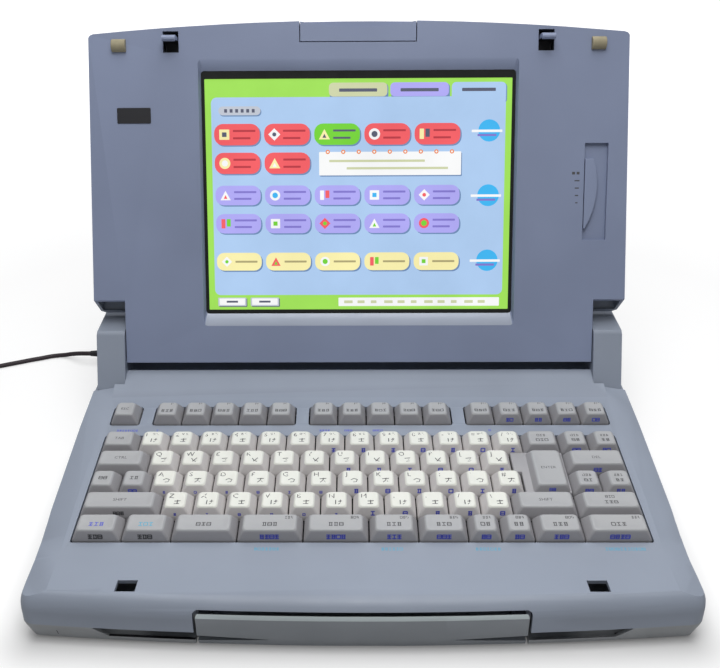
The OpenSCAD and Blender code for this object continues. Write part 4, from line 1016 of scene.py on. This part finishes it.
def on_lid_slope(normal, centre):
    """Slope of the bezel under the panel, which takes a paler blue as a painted highlight."""
    return normal.z > 0.62 and normal.y < -0.3 and abs(centre.x) < SLOPE_X and centre.z < SLOPE_Z


def on_hook_tip(_, centre):
    """The part of a hook that stands clear of the lid, which keeps the lid's blue; the rest of the
    hook is black as painted shade.
    """
    return ((SCALE_M @ LID_M).inverted() @ centre).y < HOOK_TIP_MM


SECOND_MATERIALS = (
    # Hooks: black as painted shade, apart from the tips in the lid's blue
    ("hook_left", "lid_blue", on_hook_tip),
    ("hook_right", "lid_blue", on_hook_tip),
    # Finger slits: black as painted shade
    ("lower_case", "black_plastic", in_slit),
    # Handle's sloping top edge: painted highlight
    ("carry_handle", "handle_edge_painted_highlight", on_handle_edge),
    # Bezel's slope under the panel: painted highlight
    ("lid_bezel", "lid_slope_painted_highlight", on_lid_slope),
)


def dress_nodes():
    """Materials of the CAD nodes that keep their shape, and second ones for some of their faces,
    painted shade and painted highlights among them.
    """
    for material, nodes in DRESS.items():
        for name, bevel in nodes.items():
            dress(name, material, bevel)
    for name, material, picks in SECOND_MATERIALS:
        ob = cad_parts[name]
        ob.data.materials.append(MAT[material])
        turn = ob.matrix_world.to_3x3()
        for face in ob.data.polygons:
            if picks((turn @ face.normal).normalized(), ob.matrix_world @ face.center):
                face.material_index = 1


# Picture on the panel: plain shapes in a layout of its own, in millimetres from its middle
LAYER = 0.02
PICTURE_EDGE = 0.05
SHADOW = (0.6, -0.8)
SKY = (-101, 101, -69, 67)
PILL = (-96, -67, 55, 61)
PILL_MARKS = 6
PILL_STEP = 3.8
TABS = ((64, 101, "sky"), (22, 62, "lavender"), (-20, 20, "beige"))
TAB_TOP = 76.5
TAB_FOOT = 67.2
SKY_TAB_FOOT = 62
DISC_X = 90
DISC_ROWS = (44, 0, -45)
COLUMNS = (-83.5, -49, -14.5, 20, 54.5)
BUTTON_W = 31.5
FIGURES = ("square", "diamond", "triangle", "ring", "bars")
NOTE = (-27, 71, 14, 30)
NOTE_RINGS = 9
NOTE_RING_STEP = 10.7
FOOT_BUTTONS = (-99, -76)
MESSAGE = (-14, 99, -77, -71)
MESSAGE_WORDS = 11
MESSAGE_STEP = 9.4


class Picture:
    """Flat shapes in layers over the panel."""

    def __init__(self):
        self.build = Build()
        self.names = list(SCREEN_COLOURS)

    def ring(self, points, level, colour):
        y = PANEL_Y - LAYER * level
        verts = [(x, y, SCREEN_MID + z) for x, z in points]
        self.build.add(verts, [list(range(len(verts)))], self.names.index(colour))

    def plate(self, x0, x1, z0, z1, r, level, colour):
        self.ring(round_ring(x0, x1, z0, z1, r, 5), level, colour)

    def raised(self, rect, r, level, colour):
        """A plate with its shadow a level below it."""
        x0, x1, z0, z1 = rect
        dx, dz = SHADOW
        self.plate(x0 + dx, x1 + dx, z0 + dz, z1 + dz, r, level - 1, "shadow")
        self.plate(x0, x1, z0, z1, r, level, colour)

    def disc(self, x, z, r, level, colour, sides=24):
        turns = [2 * math.pi * i / sides for i in range(sides)]
        self.ring([(x + r * math.cos(a), z + r * math.sin(a)) for a in turns], level, colour)

    def figure(self, kind, x, z, r, level, first, second):
        """A plain figure in two colours."""
        if kind == "square":
            s = r * 0.45
            self.plate(x - r, x + r, z - r, z + r, 0.4, level, first)
            self.plate(x - s, x + s, z - s, z + s, 0.2, level + 1, second)
        elif kind == "diamond":
            s = r * 1.2
            self.ring([(x, z - s), (x + s, z), (x, z + s), (x - s, z)], level, first)
            self.disc(x, z, r * 0.4, level + 1, second)
        elif kind == "triangle":
            self.ring([(x - r * 1.1, z - r), (x + r * 1.1, z - r), (x, z + r)], level, first)
            inner = [(x - r * 0.4, z - r * 0.7), (x + r * 0.4, z - r * 0.7), (x, z + r * 0.1)]
            self.ring(inner, level + 1, second)
        elif kind == "ring":
            self.disc(x, z, r * 1.1, level, first)
            self.disc(x, z, r * 0.6, level + 1, second)
        else:
            self.plate(x - r, x - r * 0.15, z - r, z + r, 0.3, level, first)
            self.plate(x + r * 0.15, x + r, z - r * 0.6, z + r, 0.3, level, second)

    def button(self, x, z, h, colour, text, kind, first, second, lines=2):
        """A rounded button with its shadow, a figure at its left and lines in place of words."""
        half_w = BUTTON_W / 2
        half_h = h / 2
        r = h * 0.42
        low = x - half_w + 0.9
        self.plate(low, x + half_w + 0.9, z - half_h - 0.9, z + half_h - 0.9, r, 3, "shadow")
        self.plate(x - half_w, x + half_w, z - half_h, z + half_h, r, 4, colour)
        self.figure(kind, x - half_w + 7, z, h * 0.24, 5, first, second)
        for i in range(lines):
            line_z = z + (i - (lines - 1) / 2) * -h * 0.34
            end = x + half_w - 3 - 3.5 * i
            self.plate(x - half_w + 13, end, line_z - 0.7, line_z + 0.7, 0.3, 5, text)


def picture_frame(pic):
    """Border, sky, tabs and the row of marks at the upper left."""
    half_w = SCREEN_W / 2 - PICTURE_EDGE
    half_h = SCREEN_H / 2 - PICTURE_EDGE
    pic.plate(-half_w, half_w, -half_h, half_h, 0.5, 1, "lime")
    pic.plate(*SKY, 4, 2, "sky")
    for x0, x1, colour in TABS:
        pic.plate(x0 + 0.7, x1 + 0.7, 62, 76, 3, 1.5, "shadow")
        foot = SKY_TAB_FOOT if colour == "sky" else TAB_FOOT
        pic.plate(x0, x1, foot, TAB_TOP, 3, 2.5, colour)
        pic.plate(x0 + 7, x1 - 7, 70.4, 72.6, 0.4, 3.5, "dark")
    pic.raised(PILL, 3, 4, "pill")
    for i in range(PILL_MARKS):
        x0 = PILL[0] + 4 + i * PILL_STEP
        pic.plate(x0, x0 + 2, 56.8, 59.2, 0.2, 5, "dark")
    for z in DISC_ROWS:
        pic.disc(DISC_X, z, 7.5, 3, "disc")
        pic.plate(78, 99, z - 1.1, z + 0.6, 0.3, 4, "white")
        pic.plate(82, 95, z - 3.8, z - 2.3, 0.3, 4, "violet")


def picture_buttons(pic):
    """Four rows of five buttons, and two more under the first row."""
    for i, x in enumerate(COLUMNS):
        odd = i % 2 == 1
        kinds = [FIGURES[(i + turn) % len(FIGURES)] for turn in (0, 2, 4, 1)]
        top, text = ("green", "dark") if i == 2 else ("coral", "rust")
        warm = "white" if odd else "coral"
        cool = "disc" if odd else "coral"
        low = "coral" if odd else "white"
        pic.button(x, 42, 14.5, top, text, kinds[0], "white" if odd else "yellow", "dark")
        pic.button(x, 0.5, 13.5, "lavender", "violet", kinds[1], "white", cool)
        pic.button(x, -19, 13.5, "lavender", "violet", kinds[2], warm, "green")
        pic.button(x, -45.5, 12.5, "yellow", "olive", kinds[3], low, "green", 1)
    for x, kind in zip(COLUMNS, ("ring", "triangle")):
        pic.button(x, 22.5, 14.5, "coral", "rust", kind, "yellow", "white")


def picture_note(pic):
    """A white note with a row of rings along its upper edge."""
    pic.raised(NOTE, 0.6, 7, "white")
    for i in range(NOTE_RINGS):
        x = NOTE[0] + 6 + i * NOTE_RING_STEP
        pic.disc(x, NOTE[3], 1.5, 8, "orange", 14)
        pic.disc(x, NOTE[3], 0.7, 9, "white", 10)
    pic.plate(-20, 46, 23, 24.6, 0.3, 8, "beige")
    pic.plate(-8, 62, 18, 19.6, 0.3, 8, "beige")


def picture_foot(pic):
    """Two buttons and a message line."""
    for x0 in FOOT_BUTTONS:
        pic.plate(x0 + 0.6, x0 + 20.6, -77.4, -71.4, 0.6, 2, "dark")
        pic.plate(x0, x0 + 20, -76.8, -70.8, 0.6, 3, "pill")
        pic.plate(x0 + 1, x0 + 19, -76, -71.4, 0.4, 4, "white")
        pic.plate(x0 + 6, x0 + 14, -74.4, -73, 0.2, 5, "dark")
    pic.plate(*MESSAGE, 0.4, 3, "white")
    for i in range(MESSAGE_WORDS):
        x0 = -10 + i * MESSAGE_STEP
        pic.plate(x0, -4 + i * MESSAGE_STEP - (i * 7) % 3, -75, -73, 0.3, 4, "beige")


def make_picture():
    pic = Picture()
    picture_frame(pic)
    picture_buttons(pic)
    picture_note(pic)
    picture_foot(pic)
    ob = pic.build.piece("panel_picture", LID_M, [MAT["lit_" + n] for n in pic.names], "lid")


# Small print on the deck: x and width of each word, behind the keys and in front of them
DECK_BLUE = ((-153.5, 15), (-133.6, 3), (-22.8, 9), (-7.2, 7), (12.4, 8), (86, 3))
DECK_TEAL = ((-53.5, 16), (17.5, 14), (71.8, 15), (149, 23))
DECK_BLUE_V = 100.8
DECK_BLUE_H = 1.9
DECK_TEAL_V = -5.6
DECK_TEAL_H = 2.2
DECK_END_V = 137
DECK_RISE = 0.3 / 147
# Joint line up the front left of the lower case, in millimetres
JOINT_X = -165
JOINT_Z = 5.2
JOINT_STEP = 0.38
JOINT_POINTS = 12
JOINT_HALF = 0.2
JOINT_PROUD = 0.05
# Scale beside the slider, in millimetres in the lid's plane
TICK_Z = (99, 104, 109, 114)
TICK_H = 0.8
TICK_X = (149.1, 150.7)
SQUARE_X = (146.4, 149.5)
SQUARE_W = 2
SQUARE_Z = (118.6, 120.4)


def make_deck_prints():
    """Blue print behind the keys and teal print in front of them."""
    def deck(x, v):
        return DECK_RISE * (DECK_END_V - v)

    rng = random.Random(5)
    build = Build()
    for x, w in DECK_BLUE:
        stroke_word(build, x, DECK_BLUE_V, (w, DECK_BLUE_H), deck, 0, rng)
    for x, w in DECK_TEAL:
        stroke_word(build, x, DECK_TEAL_V, (w, DECK_TEAL_H), deck, 1, rng)
    ob = build.piece("deck_prints", KEY_M, [MAT["ink_blue"], MAT["ink_teal"]], "base")


def make_joint_line():
    """The line lies on the face that a ray from the front meets at each height."""
    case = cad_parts["lower_case"]
    to_case = case.matrix_world.inverted()
    inward = (to_case.to_3x3() @ Vector((0, 1, 0))).normalized()
    verts = []
    for i in range(JOINT_POINTS):
        start = Vector((JOINT_X, -300, JOINT_Z + JOINT_STEP * i)) * MM
        hit, place, _, _ = case.ray_cast(to_case @ start, inward)
        if hit:
            p = (case.matrix_world @ place) / MM + Vector((0, -JOINT_PROUD, 0))
            verts.extend([(p.x - JOINT_HALF, p.y, p.z), (p.x + JOINT_HALF, p.y, p.z)])
    faces = [[2 * i, 2 * i + 1, 2 * i + 3, 2 * i + 2] for i in range(len(verts) // 2 - 1)]
    build = Build()
    build.add(verts, faces)
    ob = build.piece("case_joint_line", Matrix.Identity(4), [MAT["black_plastic"]], "base")


def make_slider_ticks():
    """Four ticks of growing length and a pair of squares beside the slider."""
    build = Build()

    def mark(x0, x1, z0, z1):
        y = -BEZEL_OFF - PRINT_LIFT
        build.add([(x0, y, z0), (x1, y, z0), (x1, y, z1), (x0, y, z1)], [[0, 1, 2, 3]])

    for i, z in enumerate(TICK_Z):
        mark(TICK_X[0] - 0.3 * i, TICK_X[1] + 0.3 * i, z, z + TICK_H)
    for x in SQUARE_X:
        mark(x, x + SQUARE_W, *SQUARE_Z)
    ob = build.piece("slider_ticks", LID_M, [MAT["ink_dark"]], "lid")


# Floor: its size and grey, and the glow that the camera alone sees, which whitens it away from
# the case. The far glow grows with the distance from the middle, the near one from the footprint,
# so that its fade round the case is a painted shadow.
FLOOR_HALF = 6.0
FLOOR_GREY = 0.55
FOOTPRINT = (0.178, 0.172, 0.0)
FAR_GLOW = (0.45, 1.3, 0.0, 0.47)
NEAR_GLOW_PAINTED_SHADOW = (0.0, 0.03, 0.12, 0.5)
# World: its tint, its strength as a light, and the strength that the camera sees
WORLD_TINT = (0.97, 0.98, 1.0, 1)
WORLD_LIGHT = 0.22
WORLD_SEEN = 1.05
# Lamps: place, size in metres and power in watts
LAMPS = {
    "top": ((0.05, 0.42, 1.7), 1.6, 16.5),
    "near": ((0, -0.35, 0.97), 0.5, 4.8),
}
LAMP_AIM = (0, 0, 0.05)


def vector_math(tree, operation, first, second=(0.0, 0.0, 0.0)):
    """A vector operation on a socket, with a plain vector as its second value."""
    n = node(tree, "VectorMath", {0: first, 1: second})
    n.operation = operation
    return n.outputs["Value"] if operation == "LENGTH" else n.outputs["Vector"]


def value_math(tree, operation, first, second):
    n = node(tree, "Math", {0: first, 1: second})
    n.operation = operation
    return n.outputs[0]


def make_floor():
    """A pale floor that keeps the object's shadow, with a glow that only the camera sees, faded
    round the case as a painted shadow.
    """
    m, tree, bsdf, coords = new_material("floor")
    feed(tree, bsdf, {
        "Base Color": (FLOOR_GREY, FLOOR_GREY, FLOOR_GREY, 1),
        "Roughness": 0.9,
        "Specular IOR Level": 0.1,
    })
    outside = vector_math(tree, "SUBTRACT", vector_math(tree, "ABSOLUTE", coords), FOOTPRINT)
    clear = vector_math(tree, "LENGTH", vector_math(tree, "MAXIMUM", outside))
    far = map_range(tree, vector_math(tree, "LENGTH", coords), *FAR_GLOW)
    # The near glow fades towards the footprint: a painted shadow round the case
    near = map_range(tree, clear, *NEAR_GLOW_PAINTED_SHADOW)
    seen = node(tree, "LightPath", {}).outputs["Is Camera Ray"]
    strength = value_math(tree, "MULTIPLY", seen, value_math(tree, "ADD", far, near))
    glow = node(tree, "Emission", {"Color": (1, 1, 1, 1), "Strength": strength})
    both = node(tree, "AddShader", {0: bsdf.outputs[0], 1: glow.outputs[0]})
    feed(tree, tree.nodes["Material Output"], {"Surface": both.outputs[0]})
    s = FLOOR_HALF
    me = bpy.data.meshes.new("floor")
    me.from_pydata([(-s, -s, 0), (s, -s, 0), (s, s, 0), (-s, s, 0)], [], [[0, 1, 2, 3]])
    me.materials.append(m)
    ob = bpy.data.objects.new("floor", me)
    scene.collection.objects.link(ob)


def make_light():
    """A white world that lights the object a little, and two area lamps."""
    world = bpy.data.worlds.new("studio")
    scene.world = world
    world.use_nodes = True
    tree = world.node_tree
    seen = node(tree, "LightPath", {}).outputs["Is Camera Ray"]
    strength = map_range(tree, seen, 0, 1, WORLD_LIGHT, WORLD_SEEN)
    feed(tree, tree.nodes["Background"], {"Color": WORLD_TINT, "Strength": strength})
    for name, (place, size, power) in LAMPS.items():
        data = bpy.data.lights.new(name, "AREA")
        data.size = size
        data.energy = power
        ob = bpy.data.objects.new(name, data)
        scene.collection.objects.link(ob)
        ob.location = place
        ob.rotation_mode = "QUATERNION"
        ob.rotation_quaternion = (Vector(LAMP_AIM) - Vector(place)).to_track_quat("-Z", "Y")


make_camera()
make_materials()
make_cord()
make_keys()
dress_nodes()
make_picture()
make_deck_prints()
make_joint_line()
make_slider_ticks()
make_floor()
make_light()
scene.view_settings.view_transform = "Standard"
